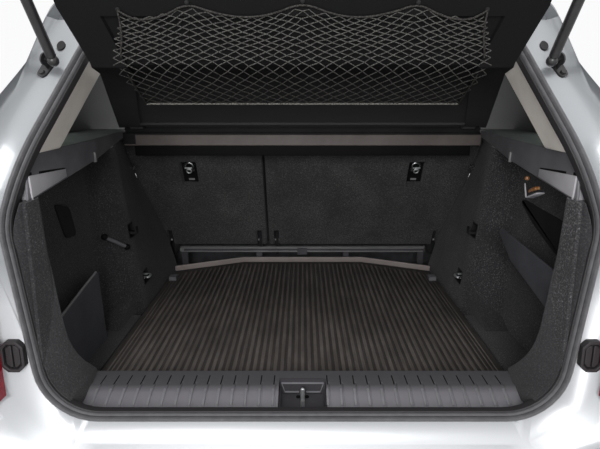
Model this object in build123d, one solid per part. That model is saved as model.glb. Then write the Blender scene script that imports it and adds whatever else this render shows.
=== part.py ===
from build123d import *
import math
import os

# Luggage bay of a compact crossover: the rear body section from the seat
# crossmember back to the bumper, in millimetres.
# X is to the right seen from behind the car, Y forward, Z up.
# The origin is on the front face of the crossmember, level with the load floor.

os.makedirs("parts", exist_ok=True)

# Body section, rear of the car
body_front = 0.0
body_low = -330.0
side_wall = 70.0
roof_wall = 42.0
# Columns: y, half width at the sill, at the waist, at the belt, at the cant rail, roof height
body_stations = (
    (0.0, 872.0, 892.0, 815.0, 640.0, 905.0),
    (-620.0, 872.0, 892.0, 800.0, 620.0, 900.0),
    (-1010.0, 860.0, 868.0, 640.0, 477.0, 880.0),
    (-1320.0, 740.0, 735.0, 600.0, 451.0, 800.0),
)
waist_height = 260.0
belt_height = 520.0
cant_drop = 45.0
roof_crown = 150.0

# Side profile of the flange that the tailgate closes on
flange_foot = (-1191.0, -340.0)
flange_knee = (-1121.0, 540.0)
flange_top = (-832.0, 930.0)
flange_bend = 260.0
tailgate_depth = 44.0
frame_deep = 12.0

# Outline of the opening, seen from behind
# Columns: half width, height, corner radius
opening_corners = (
    (526.0, 16.0, 125.0),
    (568.0, 425.0, 160.0),
    (500.0, 592.0, 600.0),
    (412.0, 852.0, 90.0),
)
rebate_width = 60.0
seal_width = 17.0
seal_proud = 17.0
seal_gap = 0.3
seal_lap = 3.0

# Wheel houses and arches
wheel_y = -560.0
wheel_z = -370.0
arch_radius = 372.0
house_radius = 412.0
house_sheet = 5.0
house_inner = 540.0
house_outer = 850.0

# Floor pan and spare wheel well
pan_top = -62.0
pan_sheet = 4.0
well_radius = 300.0
well_depth = 150.0
well_y = -640.0
cross_depth = 60.0
cross_top = 42.0
cross_low = -130.0
rail_inner = 440.0
rail_outer = 512.0
rail_rear = -1130.0
rear_panel_half = 470.0

# Bay, inside the trims
bay_half = 512.0
bay_front = -230.0
pocket_half = 606.0
pocket_front = -700.0
pocket_rear = -1030.0
rim_half = 505.0
rim_y = -1092.0
rim_end = -1202.0
rim_splay = 22.0
trim_wall = 7.0
trim_foot = -61.7
flare_half = 670.0
flare_y = -330.0
flare_mid = 562.0
trim_head = 600.0
seat_clear = 8.0
tray_top = -10.0
ledge_low_rear = 466.0
ledge_low_front = 524.0
ledge_top = 548.0
ledge_half_rear = 512.0
ledge_half_mid = 540.0
ledge_mid_y = -760.0
ledge_wall = 5.0
ledge_end = -1180.0
pillar_low = 556.0
pillar_high = 796.0
pillar_deep = 104.0
pillar_flare = 33.0
pillar_wall = 12.0
pillar_proud = 20.0
glass_in = 14.0
glass_thick = 5.0
window_points = [(-905, 560), (-545, 560), (-560, 770), (-800, 770)]
window_radii = [40, 30, 30, 40]
beam_sheet = 4.0
bumper_top = -62.0
bumper_front = -930.0
bumper_wall = 16.0
bumper_plan = [(-870, -930), (-868, -1120), (-700, -1300), (700, -1300), (868, -1120), (870, -930)]
bumper_flange = 70.0
bumper_radii = [0, 130, 160, 160, 130, 0]
rear_inner_half = 840.0
rear_panel_y = -1166.0
pan_half = 790.0
rest_gap = 0.3
rear_sheet_low = -280.0
beam_half = 620.0
beam_deep = 60.0
beam_low = -230.0
beam_top = -120.0
cross_half = 850.0

# Load floor
board_half = 502.0
board_front = -212.0
board_rear = -1012.0
board_thick = 20.0
board_corner_half = 500.0
board_corner_y = -322.0
board_tongue_half = 243.0
lip_height = 22.0
lip_width = 9.0
moving_gap = 5.0
bearer_side = (380.0, 500.0, -960.0, -400.0)
bearer_front = (-300.0, 300.0, -325.0, -260.0)

# Sill
sill_inner = -1018.0
sill_crease = -1076.0
sill_outer = -1126.0
sill_top = 32.0
sill_low = 12.0
sill_half_inner = 462.0
sill_half_outer = 485.0
sill_wall = 4.0
notch_count = 31
notch_pitch = 30.0
notch_width = 3.0
notch_deep = 2.0
latch_width = 106.0
latch_rear = -1132.0
latch_front = -1046.0
latch_drop = 24.0
latch_sheet = 6.0
striker_radius = 4.5
striker_half = 14.0

# Seat backs
seat_foot_y = -178.0
seat_foot_z = 62.0
seat_rake = 22.0
seat_height = 500.0
seat_thick = 92.0
seat_half_foot = 574.0
seat_half_top = 632.0
seat_split = -142.0
seat_gap = 10.0
seat_hinge_y = -135.0
seat_hinge_z = 100.0
seat_pivot_radius = 9.0
seat_round = 22.0
foot_rail_y = -200.0
foot_rail_half = 506.0
foot_rail_deep = 16.0
foot_rail_low = 36.0
foot_rail_top = 58.0
foot_rail_groove = (45.0, 49.0)
foot_rail_legs = (-490.0, -180.0, 180.0, 490.0)
foot_catch = (-22.0, 18.0, 12.0, 30.0, 56.0)
running_gap = 0.1
pivot_in = 30.0
arm_half = 5.0
pivot_slot = 60.0
tether_x = 420.0
tether_up = 341.0
tether_wide = 62.0
tether_high = 100.0
tether_deep = 30.0

# Tail lamps and cargo guards
lamp_low = 60.0
lamp_high = 250.0
lamp_deep = 30.0
lamp_inner = 590.0
lamp_back = 800.0
lamp_front = -960.0
guard_thick = 5.0

# Parcel shelf, as raised
shelf_y = -450.0
shelf_z = 563.0
shelf_angle = 15.8
shelf_bend = 60.0
shelf_flat = 556.0
shelf_rear = 126.0
shelf_thick = 14.0
shelf_front_edge = 4.0
shelf_half_front = 598.0
shelf_half_bend = 421.0
shelf_half_rear = 446.0
shelf_pin_x = 540.0
shelf_pin_radius = 5.0
knuckle_radius = 11.0
knuckle_half = 20.0
ear_thick = 8.0
ear_gap = 1.0
strip_front = -386.0
strip_rear = -442.0
strip_low = 498.0
strip_top = 540.0
strip_half = 592.0
strip_wall = 4.0
strip_ridge_half = 505.0
strip_ridge_front = -424.0
strip_ridge_rear = -430.0
strip_ridge_top = 572.0
ledge_half_front = strip_half + rest_gap

# Gas struts
stud_x = 482.0
stud_z = 706.0
stud_stand = 22.0
stud_radius = 6.0
strut_socket = 10.0
tube_radius = 9.5
tube_length = 215.0
rod_radius = 4.0
rod_length = 225.0
rod_in_tube = 30.0
strut_out = 0.02
strut_back = -0.55
strut_up = 0.83
closed_out = 0.26
closed_back = -0.574
closed_down = -0.776
stud_reach = 16.5
stud_plate = 3.0
stud_plate_radius = 12.0
stud_foot_thick = 2.4

strut_neck = 6.5
strut_eye = 11.0
stud_neck = 4.5
stud_foot_long = 10.0

# Where the painted wall is split
roof_split = 806.0
rear_panel_top = 60.0

# Reach of the blocks that cut or keep a zone of the body
reach_side = 1100.0
reach_rear = -1500.0
reach_front = 10.0
reach_low = -400.0
reach_high = 1000.0
reach_deep = 1500.0

# Small fittings of the bay, as boxes of two X, two Y and two Z for the right side
hook_room = (500.0, 566.0, -612.0, -566.0, 226.0, 274.0)
hook_arm = (522.0, 564.0, -598.0, -580.0, 238.0, 246.0)
hook_tip = (522.0, 527.0, -598.0, -580.0, 246.0, 260.0)
eye_room = (500.0, 548.0, -572.0, -518.0, 52.0, 98.0)
eye_rear_leg = (518.0, 546.0, -564.0, -558.0, 72.0, 78.0)
eye_front_leg = (518.0, 546.0, -532.0, -526.0, 72.0, 78.0)
eye_bar = (518.0, 524.0, -564.0, -526.0, 72.0, 78.0)
cup_wall = 3.0
catch_box = (468.0, 494.0, -412.0, -384.0, 0.0, 14.0)
bow_outer = (600.0, 619.0, -352.0, -336.0, 402.0, 420.0)
bow_slot = (604.0, 619.0, -348.0, -340.0, 401.0, 421.0)
bow_bar = (600.0, 619.0, -352.0, -336.0, 408.0, 412.0)
plug_x = 487.0
plug_z = 750.0
plug_wide = 8.0
plug_high = 11.0
plug_proud = 4.0

# Stop buffers
buffer_inner = 546.0
buffer_outer = 592.0
buffer_low = 130.0
buffer_top = 194.0
buffer_corner = 12.0
buffer_proud = 14.0
buffer_rim = 6.0
buffer_floor = 5.0
buffer_pad_proud = 11.0
buffer_pad_gap = 3.0

# Cargo guards, as outlines in Y and Z
guard_left_half = 558.0
guard_left_points = [(-1062, -10), (-1062, 60), (-1002, 165), (-812, 200), (-800, 190), (-800, -10)]
guard_left_radii = [0, 20, 12, 12, 0, 0]
guard_right_half = 540.0
guard_right_points = [(-1074, 190), (-1074, 290), (-776, 310), (-756, 300), (-844, 244)]
guard_right_radii = [0, 0, 10, 8, 60]


def block(x0, x1, y0, y1, z0, z1):
    """A block between two X, two Y and two Z, in any order."""
    return Pos((x0 + x1) / 2, (y0 + y1) / 2, (z0 + z1) / 2) * Box(abs(x1 - x0), abs(y1 - y0), abs(z1 - z0))


def face_of(points, radii=None):
    """A polygon face, with a corner radius for each point that has one."""
    face = make_face(Polyline(*points, close=True))
    if radii:
        for point, radius in zip(points, radii):
            if radius:
                near = face.vertices().sort_by(lambda v: (v.X - point[0]) ** 2 + (v.Y - point[1]) ** 2)[0]
                face = fillet(near, radius)
    return face


def along_x(face, x0, x1):
    """A face drawn in Y and Z, drawn out along X."""
    return extrude(Plane.YZ.offset(x0) * face, amount=x1 - x0)


def along_y(face, y0, y1):
    """A face drawn in X and Z, drawn out along Y from y0 back to y1."""
    return extrude(Plane.XZ.offset(-y0) * face, amount=y0 - y1)


def along_z(face, z0, z1):
    """A face drawn in X and Y, drawn out along Z."""
    return extrude(Plane.XY.offset(z0) * face, amount=z1 - z0)


def across(face):
    """A face drawn in Y and Z, drawn out over the whole width."""
    return along_x(face, -reach_side, reach_side)


def lengthwise(face):
    """A face drawn in X and Z, drawn out through the rear of the body."""
    return along_y(face, reach_low, reach_rear)


def zone(x0=-reach_side, x1=reach_side, y0=reach_rear, y1=reach_front, z0=reach_low, z1=reach_high):
    """A block that reaches past the body on every side that isn't given."""
    return block(x0, x1, y0, y1, z0, z1)


def boxed(sides, side=1):
    """A block from six numbers, on the right or on the left."""
    x0, x1, y0, y1, z0, z1 = sides
    return block(side * x0, side * x1, y0, y1, z0, z1)


def inset_room(room, side, inset):
    """A recess in a side trim, open inboard and made smaller by inset elsewhere."""
    x0, x1, y0, y1, z0, z1 = room
    return block(side * x0, side * (x1 - inset), y0 + inset, y1 - inset, z0 + inset, z1 - inset)


def mirrored(shape):
    return mirror(shape, about=Plane.YZ)


def rod_between(start, end, radius):
    run = Vector(*end) - Vector(*start)
    return Plane(origin=start, z_dir=run) * Cylinder(radius, run.length, align=(Align.CENTER, Align.CENTER, Align.MIN))


def flange_side(out, deep):
    """The band along the flange's side profile from out rearward to deep forward, as a face in Y and Z."""
    points = []
    for y, z in (flange_foot, flange_knee, flange_top):
        points.append((y - out, z))
    far = [(y + deep, z) for y, z in (flange_top, flange_knee, flange_foot)]
    radii = [0, flange_bend, 0, 0, flange_bend, 0]
    points += far
    return face_of(points, radii)


def flange_y(z):
    """Where the straight lines of the flange's side profile are at height z."""
    low, high = (flange_foot, flange_knee) if z < flange_knee[1] else (flange_knee, flange_top)
    return low[0] + (high[0] - low[0]) * (z - low[1]) / (high[1] - low[1])


def opening(grow):
    """The opening's outline in X and Z, grown outwards."""
    right = [(x + grow, z + (grow if z > 400 else -grow if z < 100 else 0)) for x, z, r in opening_corners]
    left = [(-x, z) for x, z in reversed(right)]
    radii = [r + grow for x, z, r in opening_corners]
    return face_of(right + left, radii + radii[::-1])


def body_section(station, inset):
    """One cross-section of the body, made smaller by inset at the sides."""
    y, sill, waist, belt, cant, roof = station
    top = roof - inset * roof_wall / side_wall
    right = [
        (sill - inset, body_low - 1 if inset else body_low),
        (waist - inset, waist_height),
        (belt - inset, belt_height),
        (cant - inset, top - cant_drop),
        (cant - inset - roof_crown, top),
    ]
    left = [(-x, z) for x, z in reversed(right)]
    return Plane.XZ.offset(-y) * face_of(right + left, [0, 90, 120, 50, 0, 0, 50, 120, 90, 0])


def body_volume(inset):
    return loft([body_section(s, inset) for s in body_stations], ruled=True)


def build_cavity():
    """The hollow inside the painted wall."""
    return body_volume(side_wall) & across(flange_side(-frame_deep, reach_deep))


def build_shell(cavity):
    """The painted wall, hollow, with its opening, windows and wheel arches."""
    shell = body_volume(0) - cavity
    shell &= across(flange_side(tailgate_depth, reach_deep))
    shell -= lengthwise(opening(rebate_width)) & across(flange_side(-reach_low, 0))
    shell -= lengthwise(opening(seal_lap - seal_width))
    shell -= across(face_of(window_points, window_radii))
    shell -= wheel_drum(arch_radius, -reach_side, reach_side)
    return shell - zone(y1=bumper_front, z1=bumper_top)


def fuse_all(shapes):
    whole = shapes[0]
    for shape in shapes[1:]:
        whole += shape
    return whole


def save(name, shape):
    """One sub-part, written as its own file."""
    solids = shape.solids()
    result = solids[0] if len(solids) == 1 else Compound(children=list(solids))
    export_step(result, f"parts/{name}.step")


def build_body(shell):
    """The painted wall split where the real panels meet."""
    roof = shell & zone(z0=roof_split)
    sides = shell & zone(z1=roof_split)
    rear = sides & zone(x0=-rear_panel_half, x1=rear_panel_half, y1=pocket_rear, z1=rear_panel_top)
    sides -= rear
    return {
        "roof_header": roof,
        "quarter_panel_left": sides & zone(x1=0),
        "quarter_panel_right": sides & zone(x0=0),
        "rear_panel": rear,
    }


def build_seal():
    """The rubber seal that lies on the flange round the opening."""
    ring = lengthwise(opening(0)) - lengthwise(opening(-seal_width))
    return ring & across(flange_side(seal_proud, -seal_gap))


def bumper_volume(inset):
    """The bumper's outer form, made smaller by inset."""
    plan = face_of(bumper_plan, bumper_radii)
    if inset:
        plan = offset(plan, amount=-inset)
    return along_z(plan, body_low - (1 if inset else 0), bumper_top - inset)


def build_bumper():
    """The bumper cover, a hollow skin round the corners, open below and in front."""
    cover = bumper_volume(0) - bumper_volume(bumper_wall)
    plan = offset(face_of(bumper_plan, bumper_radii), amount=-bumper_flange)
    cover -= along_z(plan, body_low - 1, bumper_top + 1)
    cover -= zone(x0=-rear_inner_half, x1=rear_inner_half, y0=bumper_front - bumper_flange - 1, z1=bumper_top + 1)
    return cover - wheel_drum(arch_radius, -reach_side, reach_side)


def build_rear_sheet():
    """The sheet from the sill down to the pan, behind the bumper cover."""
    return block(-rear_panel_half, rear_panel_half, rear_panel_y, rear_panel_y + beam_sheet, rear_sheet_low, bumper_top + 4)


def build_bumper_beam():
    """The hollow beam behind the bumper cover."""
    rear = rear_panel_y - beam_deep
    beam = block(-beam_half, beam_half, rear, rear_panel_y - rest_gap, beam_low, beam_top)
    return beam - block(-beam_half - 1, beam_half + 1, rear + beam_sheet, rear_panel_y - rest_gap - beam_sheet,
                        beam_low + beam_sheet, beam_top - beam_sheet)


def wheel_drum(radius, x0, x1):
    """A drum round the wheel's axis, from x0 to x1."""
    return Pos((x0 + x1) / 2, wheel_y, wheel_z) * Rot(0, 90, 0) * Cylinder(radius, x1 - x0)


def both_drums(radius, inner):
    """A drum at each wheel, from inner outwards."""
    drum = wheel_drum(radius, inner, reach_side)
    return drum + mirrored(drum)


def build_wheel_house():
    """The right wheel house: a dome over the tyre and the inner wall."""
    above = zone(x0=0, y1=-cross_depth, z0=body_low)
    dome = wheel_drum(house_radius, house_inner, house_outer)
    dome -= wheel_drum(house_radius - house_sheet, house_inner + house_sheet, reach_side)
    return dome & above


def build_pan():
    """The floor pan, level, with the spare wheel's well."""
    plate = block(-pan_half, pan_half, rear_panel_y + beam_sheet + rest_gap, -cross_depth, pan_top - pan_sheet, pan_top)
    plate -= both_drums(house_radius, house_inner)
    well_low = pan_top - well_depth
    well = Pos(0, well_y, well_low) * Cylinder(well_radius + pan_sheet, well_depth, align=(Align.CENTER, Align.CENTER, Align.MIN))
    bowl = Pos(0, well_y, well_low + pan_sheet) * Cylinder(well_radius, well_depth, align=(Align.CENTER, Align.CENTER, Align.MIN))
    return plate + well - bowl


def bay_plan(high):
    """The plan of the bay inside the side trims, at their foot or at their head."""
    front = flare_half if high else bay_half
    middle = flare_mid if high else bay_half
    right = [
        (front, bay_front + 50),
        (front - 4, flare_y),
        (middle, pocket_front + 90),
        (pocket_half, pocket_front),
        (pocket_half, pocket_rear),
        (rim_half, rim_y),
        (rim_half + rim_splay, rim_end),
    ]
    left = [(-x, y) for x, y in reversed(right)]
    return face_of(right + left, [0, 90, 60, 60, 40, 14, 0, 0, 14, 40, 60, 60, 90, 0])


def bay_volume(grow):
    """The room inside the side trims, widening upwards towards the seat backs."""
    low = bay_plan(False)
    high = bay_plan(True)
    if grow:
        low = offset(low, amount=grow)
        high = offset(high, amount=grow)
    return loft([Plane.XY.offset(trim_foot) * low, Plane.XY.offset(trim_head) * high], ruled=True)


def seat_path(gap):
    """The room that the seat backs stand in and swing forward through, grown by gap."""
    foot = seat_half_foot + gap
    top = seat_half_top + gap
    face = face_of([(-foot, -140), (-foot, 0), (-top, seat_height), (-top, 700),
                    (top, 700), (top, seat_height), (foot, 0), (foot, -140)])
    return extrude(seat_plane().offset(gap) * face, amount=-500)


def ledge_low(y):
    """How high the ledges' lower edge is at y."""
    share = (y - rim_y) / (strip_rear - rim_y)
    return ledge_low_rear + (ledge_low_front - ledge_low_rear) * share


def build_side_trims(shell):
    """The carpeted side trims, from the pan up to the ledges, with the side pockets' trays."""
    wall = bay_volume(trim_wall) - bay_volume(0)
    tray = bay_volume(trim_wall) & zone(y0=pocket_rear - 20, y1=pocket_front + 40, z0=tray_top - trim_wall, z1=tray_top)
    wall += tray - zone(x0=-bay_half, x1=bay_half)
    high_end = rim_end + 20
    under = face_of([(-100, trim_foot), (-100, ledge_low(-100)), (high_end, ledge_low(high_end)), (high_end, trim_foot)])
    wall &= across(under)
    wall -= zone(x0=-sill_half_outer - 2, x1=sill_half_outer + 2, y1=rim_y + 40, z1=sill_top + 2)
    wall -= across(flange_side(-reach_low, seal_gap))
    wall -= zone(x0=-seat_half_foot / 2, x1=seat_half_foot / 2)
    wall -= seat_path(seat_clear)
    wall -= zone(x0=-strip_half - rest_gap, x1=strip_half + rest_gap, y0=strip_rear - rest_gap, z0=strip_low - rest_gap)
    wall -= both_drums(house_radius + rest_gap, house_inner - rest_gap)
    wall -= zone(y0=bay_front + 25)
    for side in (-1, 1):
        wall -= inset_room(hook_room, side, 0) + inset_room(eye_room, side, 0)
    return wall - shell


def seat_plane():
    """The plane of the seat backs' rear faces, with X across and Y up along them."""
    rake = math.radians(seat_rake)
    return Plane(origin=(0, seat_foot_y, seat_foot_z), x_dir=(1, 0, 0), z_dir=(0, -math.cos(rake), -math.sin(rake)))


def build_cross_member():
    """The box beam under the seat backs, whose front face carries the section."""
    beam = block(-cross_half, cross_half, -cross_depth, body_front, cross_low, cross_top)
    return beam - block(-cross_half + beam_sheet, cross_half - beam_sheet, -cross_depth + beam_sheet, -beam_sheet,
                        cross_low + beam_sheet, cross_top - beam_sheet)


def build_rails():
    """The two long members under the pan."""
    rail = block(rail_inner, rail_outer, rail_rear, -cross_depth, cross_low, pan_top - pan_sheet)
    rail -= block(rail_inner + beam_sheet, rail_outer - beam_sheet, rail_rear - 1, -cross_depth + 1,
                  cross_low + beam_sheet, pan_top - pan_sheet - beam_sheet)
    return rail + mirrored(rail)


def build_ledge(cavity):
    """The right upper ledge that the parcel shelf lies on."""
    plan = face_of([
        (ledge_half_front, strip_front), (ledge_half_front, strip_rear - 8),
        (ledge_half_mid, ledge_mid_y), (ledge_half_rear, rim_y), (ledge_half_rear + 8, ledge_end),
        (reach_side, ledge_end), (reach_side, strip_front),
    ], [0, 0, 200, 30, 0, 0, 0])
    side = face_of([
        (strip_front, ledge_low(strip_front)), (strip_front, ledge_top),
        (ledge_end, ledge_top), (ledge_end, ledge_low(ledge_end)),
    ])
    solid = along_z(plan, 0, ledge_top) & along_x(side, 0, reach_side)
    inner = along_z(offset(plan, amount=-ledge_wall), 0, ledge_top - ledge_wall)
    solid -= inner
    solid &= cavity
    return solid - both_drums(house_radius, 0)


def build_pillar_trim(shell):
    """The right pale pillar trim, flared outwards from the seal to the window."""
    slope = math.atan2(flange_top[0] - flange_knee[0], flange_top[1] - flange_knee[1])
    out = Vector(0, -math.cos(slope), math.sin(slope))
    middle_z = (pillar_low + pillar_high) / 2
    base = Vector(0, flange_y(middle_z), middle_z)
    faces = []
    for depth, flare in ((-pillar_proud, 0.0), (pillar_deep, pillar_flare)):
        at = base - out * depth
        plane = Plane(origin=(at.X, at.Y, at.Z), x_dir=(1, 0, 0), z_dir=(out.X, out.Y, out.Z))
        corners = []
        for z, thick in ((pillar_low, 0), (pillar_high, 0), (pillar_high, pillar_wall), (pillar_low, pillar_wall)):
            v = (z - middle_z) / math.cos(slope)
            x = opening_half(z) - seal_width - seal_lap + flare + thick
            corners.append((x, v))
        faces.append(plane * face_of(corners))
    trim = loft(faces, ruled=True) & zone(x0=0, z0=ledge_top)
    return trim - across(flange_side(-reach_low, 1.0)) - shell


def opening_half(z):
    """Half the opening's width at height z, along the straight lines of its outline."""
    for low, high in zip(opening_corners, opening_corners[1:]):
        if z <= high[1]:
            return low[0] + (high[0] - low[0]) * (z - low[1]) / (high[1] - low[1])
    return opening_corners[-1][0]


def build_glass():
    """The right quarter window, seated in the wall."""
    pane = body_volume(glass_in) - body_volume(glass_in + glass_thick)
    return pane & along_x(face_of(window_points, window_radii), 0, reach_side)


def build_board():
    """The load floor's board with its ribbed mat, as one panel."""
    right = [
        (board_tongue_half, board_front), (board_corner_half, board_corner_y),
        (board_half, board_corner_y - 20), (board_half, board_rear),
    ]
    left = [(-x, y) for x, y in reversed(right)]
    board = along_z(face_of(right + left, [30, 20, 12, 30, 30, 12, 20, 30]), -board_thick, 0)
    return board


def build_lip():
    """The raised strip along the front edge of the load floor."""
    run = [
        (-board_corner_half + 4, board_corner_y), (-board_tongue_half, board_front - 2 - lip_width),
        (board_tongue_half, board_front - 2 - lip_width), (board_corner_half - 4, board_corner_y),
    ]
    front = [(x, y + lip_width) for x, y in reversed(run)]
    return along_z(face_of(run + front, [0, 30, 30, 0, 0, 30, 30, 0]), 0, lip_height)


def build_board_rest():
    """The foam bearers that hold the board off the pan."""
    bearer = block(*bearer_side, pan_top, -board_thick - rest_gap)
    return bearer + mirrored(bearer) + block(*bearer_front, pan_top, -board_thick - rest_gap)


def build_sill():
    """The notched trim over the sill, with a place for the latch."""
    profile = [
        (sill_inner, sill_top), (sill_crease, sill_top), (sill_outer, sill_low),
        (sill_outer, sill_low - sill_wall), (sill_crease, sill_top - sill_wall),
        (sill_inner - sill_wall, sill_top - sill_wall), (sill_inner - sill_wall, trim_foot), (sill_inner, trim_foot),
    ]
    sill = along_x(face_of(profile), -sill_half_outer, sill_half_outer)
    deep = face_of([
        (sill_crease + 14, sill_top - notch_deep), (sill_crease, sill_top - notch_deep),
        (sill_outer - 1, sill_low - notch_deep), (sill_outer - 1, sill_top + 1), (sill_crease + 14, sill_top + 1),
    ])
    notch = along_x(deep, -notch_width / 2, notch_width / 2)
    for index in range(notch_count):
        x = (index - (notch_count - 1) / 2) * notch_pitch
        if abs(x) > latch_width / 2 + notch_width:
            sill -= Pos(x, 0, 0) * notch
    return sill - zone(x0=-latch_width / 2, x1=latch_width / 2, y1=latch_front)


def build_latch():
    """The striker's tray in its recess."""
    half = latch_width / 2 - rest_gap
    low = sill_low - latch_drop
    front = latch_front - rest_gap
    rear = latch_rear + 8
    tray = block(-half, half, rear, front, low, low + latch_sheet)
    tray += block(-half, half, front - sill_wall, front, low, sill_top)
    for side in (-1, 1):
        tray += block(side * half, side * (half - sill_wall), rear, front, low, sill_low - 2)
    return tray


def build_striker():
    """The steel bow that the tailgate's latch closes on."""
    base = sill_low - latch_drop + latch_sheet
    y = (latch_rear + latch_front) / 2
    feet = []
    for end in (-1, 1):
        foot = Pos(0, y + end * striker_half, base)
        feet.append(foot * Cylinder(striker_radius, latch_drop, align=(Align.CENTER, Align.CENTER, Align.MIN)))
    bar = Pos(0, y, base + latch_drop) * Rot(90, 0, 0) * Cylinder(striker_radius, 2 * (striker_half + striker_radius))
    return fuse_all(feet + [bar])


def seat_slab(left, right):
    """A slab on the seat back's rake between two sides, given at foot and top."""
    outline = face_of([(left[0], 0), (left[1], seat_height), (right[1], seat_height), (right[0], 0)],
                      [12, seat_round, seat_round, 12])
    return extrude(seat_plane() * outline, amount=-seat_thick)


def build_seat(side):
    """A folding seat back: the panel with its foam, and its pivots at the foot."""
    if side < 0:
        left = (-seat_half_foot, -seat_half_top)
        right = (seat_split - seat_gap / 2, seat_split - seat_gap / 2)
    else:
        left = (seat_split + seat_gap / 2, seat_split + seat_gap / 2)
        right = (seat_half_foot, seat_half_top)
    slab = seat_slab(left, right)
    slab -= tether_box(side * tether_x)
    for x in (left[0] + pivot_in, right[0] - pivot_in):
        slab -= Pos(x, seat_hinge_y, seat_hinge_z) * Rot(0, 90, 0) * Cylinder(seat_pivot_radius + running_gap, pivot_slot)
        slab -= pivot_gap(x)
    return slab


def pivot_gap(x):
    """The slot in a seat back's foot that its hinge arm stands in."""
    return block(x - arm_half - moving_gap, x + arm_half + moving_gap,
                 seat_hinge_y - 70, seat_hinge_y + 58, seat_foot_z - 60, seat_hinge_z + 40)


def tether_box(x):
    """The room of the recess in a seat back's rear face."""
    face = Pos(x, tether_up) * Rectangle(tether_wide, tether_high)
    return extrude(seat_plane().offset(-tether_deep) * face, amount=tether_deep + 1)


def build_seat_arms():
    """The hinge brackets on the cross member, each with its pin."""
    arms = []
    for x in pivot_places():
        arm = block(x - arm_half, x + arm_half, seat_hinge_y - 16, -cross_depth - 0.0, cross_top - 30, cross_top)
        post = block(x - arm_half, x + arm_half, seat_hinge_y - 16, seat_hinge_y + 16, cross_top - 30, seat_hinge_z)
        eye = Pos(x, seat_hinge_y, seat_hinge_z) * Rot(0, 90, 0) * Cylinder(16, 2 * arm_half)
        pin = Pos(x, seat_hinge_y, seat_hinge_z) * Rot(0, 90, 0) * Cylinder(seat_pivot_radius, pivot_slot - 8)
        arms.append(arm + post + eye + pin)
    return fuse_all(arms)


def pivot_places():
    inner = seat_gap / 2 + pivot_in
    return (-seat_half_foot + pivot_in, seat_split - inner, seat_split + inner, seat_half_foot - pivot_in)


def build_foot_rail():
    """The rail along the foot of the seat backs, with its centre catch."""
    front = foot_rail_y + foot_rail_deep
    groove_low, groove_top = foot_rail_groove
    catch_left, catch_right, catch_deep, catch_low, catch_top = foot_catch
    rail = block(-foot_rail_half, foot_rail_half, foot_rail_y, front, foot_rail_low, foot_rail_top)
    rail -= block(-foot_rail_half - 1, foot_rail_half + 1, foot_rail_y - 1, foot_rail_y + 3, groove_low, groove_top)
    legs = []
    for x in foot_rail_legs:
        legs.append(block(x - 12, x + 12, front - 10, front - 2, pan_top, foot_rail_low))
    catch = block(catch_left, catch_right, foot_rail_y - catch_deep, foot_rail_y, catch_low, catch_top)
    return fuse_all([rail, catch] + legs)


def build_tether(x):
    """The wire loop in a seat back's recess."""
    deep = seat_plane().offset(-tether_deep + 8)
    loop = deep * (Pos(x, tether_up + 22, 0) * Torus(15, 4))
    foot = deep * (Pos(x, tether_up + 6, -4) * Box(34, 12, 8))
    return loop + foot


def shelf_profile(thick_out, thick_in, s0, s1):
    """The raised shelf's side profile between two stations, as a face in Y and Z."""
    low = math.radians(shelf_angle)
    high = math.radians(shelf_bend)

    def at(s, t):
        if s <= shelf_flat:
            y, z, angle = shelf_y - s * math.cos(low), shelf_z + s * math.sin(low), low
        else:
            r = s - shelf_flat
            y = shelf_y - shelf_flat * math.cos(low) - r * math.cos(high)
            z = shelf_z + shelf_flat * math.sin(low) + r * math.sin(high)
            angle = high
        if s == shelf_flat:
            angle = (low + high) / 2
            t = t / math.cos((high - low) / 2)
        return (y + t * math.sin(angle), z + t * math.cos(angle))

    line = [s0, shelf_flat, s1] if s0 < shelf_flat < s1 else [s0, s1]
    points = [at(s, thick_out) for s in line] + [at(s, thick_in) for s in reversed(line)]
    return face_of(points)


def shelf_plan(inset):
    """The shelf's plan outline as it stands raised, in X and Y."""
    low = math.radians(shelf_angle)
    high = math.radians(shelf_bend)
    bend_y = shelf_y - shelf_flat * math.cos(low)
    rear_y = bend_y - shelf_rear * math.cos(high)
    front_y = shelf_y - shelf_front_edge
    right = [
        (shelf_half_front - inset, front_y),
        (shelf_half_bend - inset, bend_y + 30),
        (shelf_half_bend - inset, bend_y - 10),
        (shelf_half_rear - inset, rear_y),
        (shelf_half_rear - inset, rear_y - 20),
    ]
    left = [(-x, y) for x, y in reversed(right)]
    return face_of(right + left)


def build_shelf():
    """The parcel shelf: a moulded panel with a recessed field and two knuckles."""
    panel = along_x(shelf_profile(shelf_thick / 2, -shelf_thick / 2, shelf_front_edge, shelf_flat + shelf_rear), -700, 700)
    panel &= along_z(shelf_plan(0), 300, 1200)
    field = along_x(shelf_profile(0, -shelf_thick, shelf_front_edge + 40, shelf_flat + shelf_rear - 30), -700, 700)
    field &= along_z(shelf_plan(70), 300, 1200)
    panel -= field
    for side in (-1, 1):
        x = side * shelf_pin_x
        panel -= block(x - knuckle_half - 14, x + knuckle_half + 14, shelf_y - 24, shelf_y + 30, 400, 700)
        knuckle = Pos(x, shelf_y, shelf_z) * Rot(0, 90, 0) * Cylinder(knuckle_radius, 2 * knuckle_half)
        tail = along_x(shelf_profile(shelf_thick / 2, -shelf_thick / 2, 0, 40), x - knuckle_half, x + knuckle_half)
        panel += knuckle + tail
        panel -= Pos(x, shelf_y, shelf_z) * Rot(0, 90, 0) * Cylinder(shelf_pin_radius + running_gap, 200)
    return panel


def build_net_pad():
    """The net lying in the shelf's recessed field, as a thin sheet."""
    sheet = along_x(shelf_profile(-0.3, -4.3, shelf_front_edge + 50, shelf_flat + shelf_rear - 36), -700, 700)
    return sheet & along_z(shelf_plan(76), 300, 1200)


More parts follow.
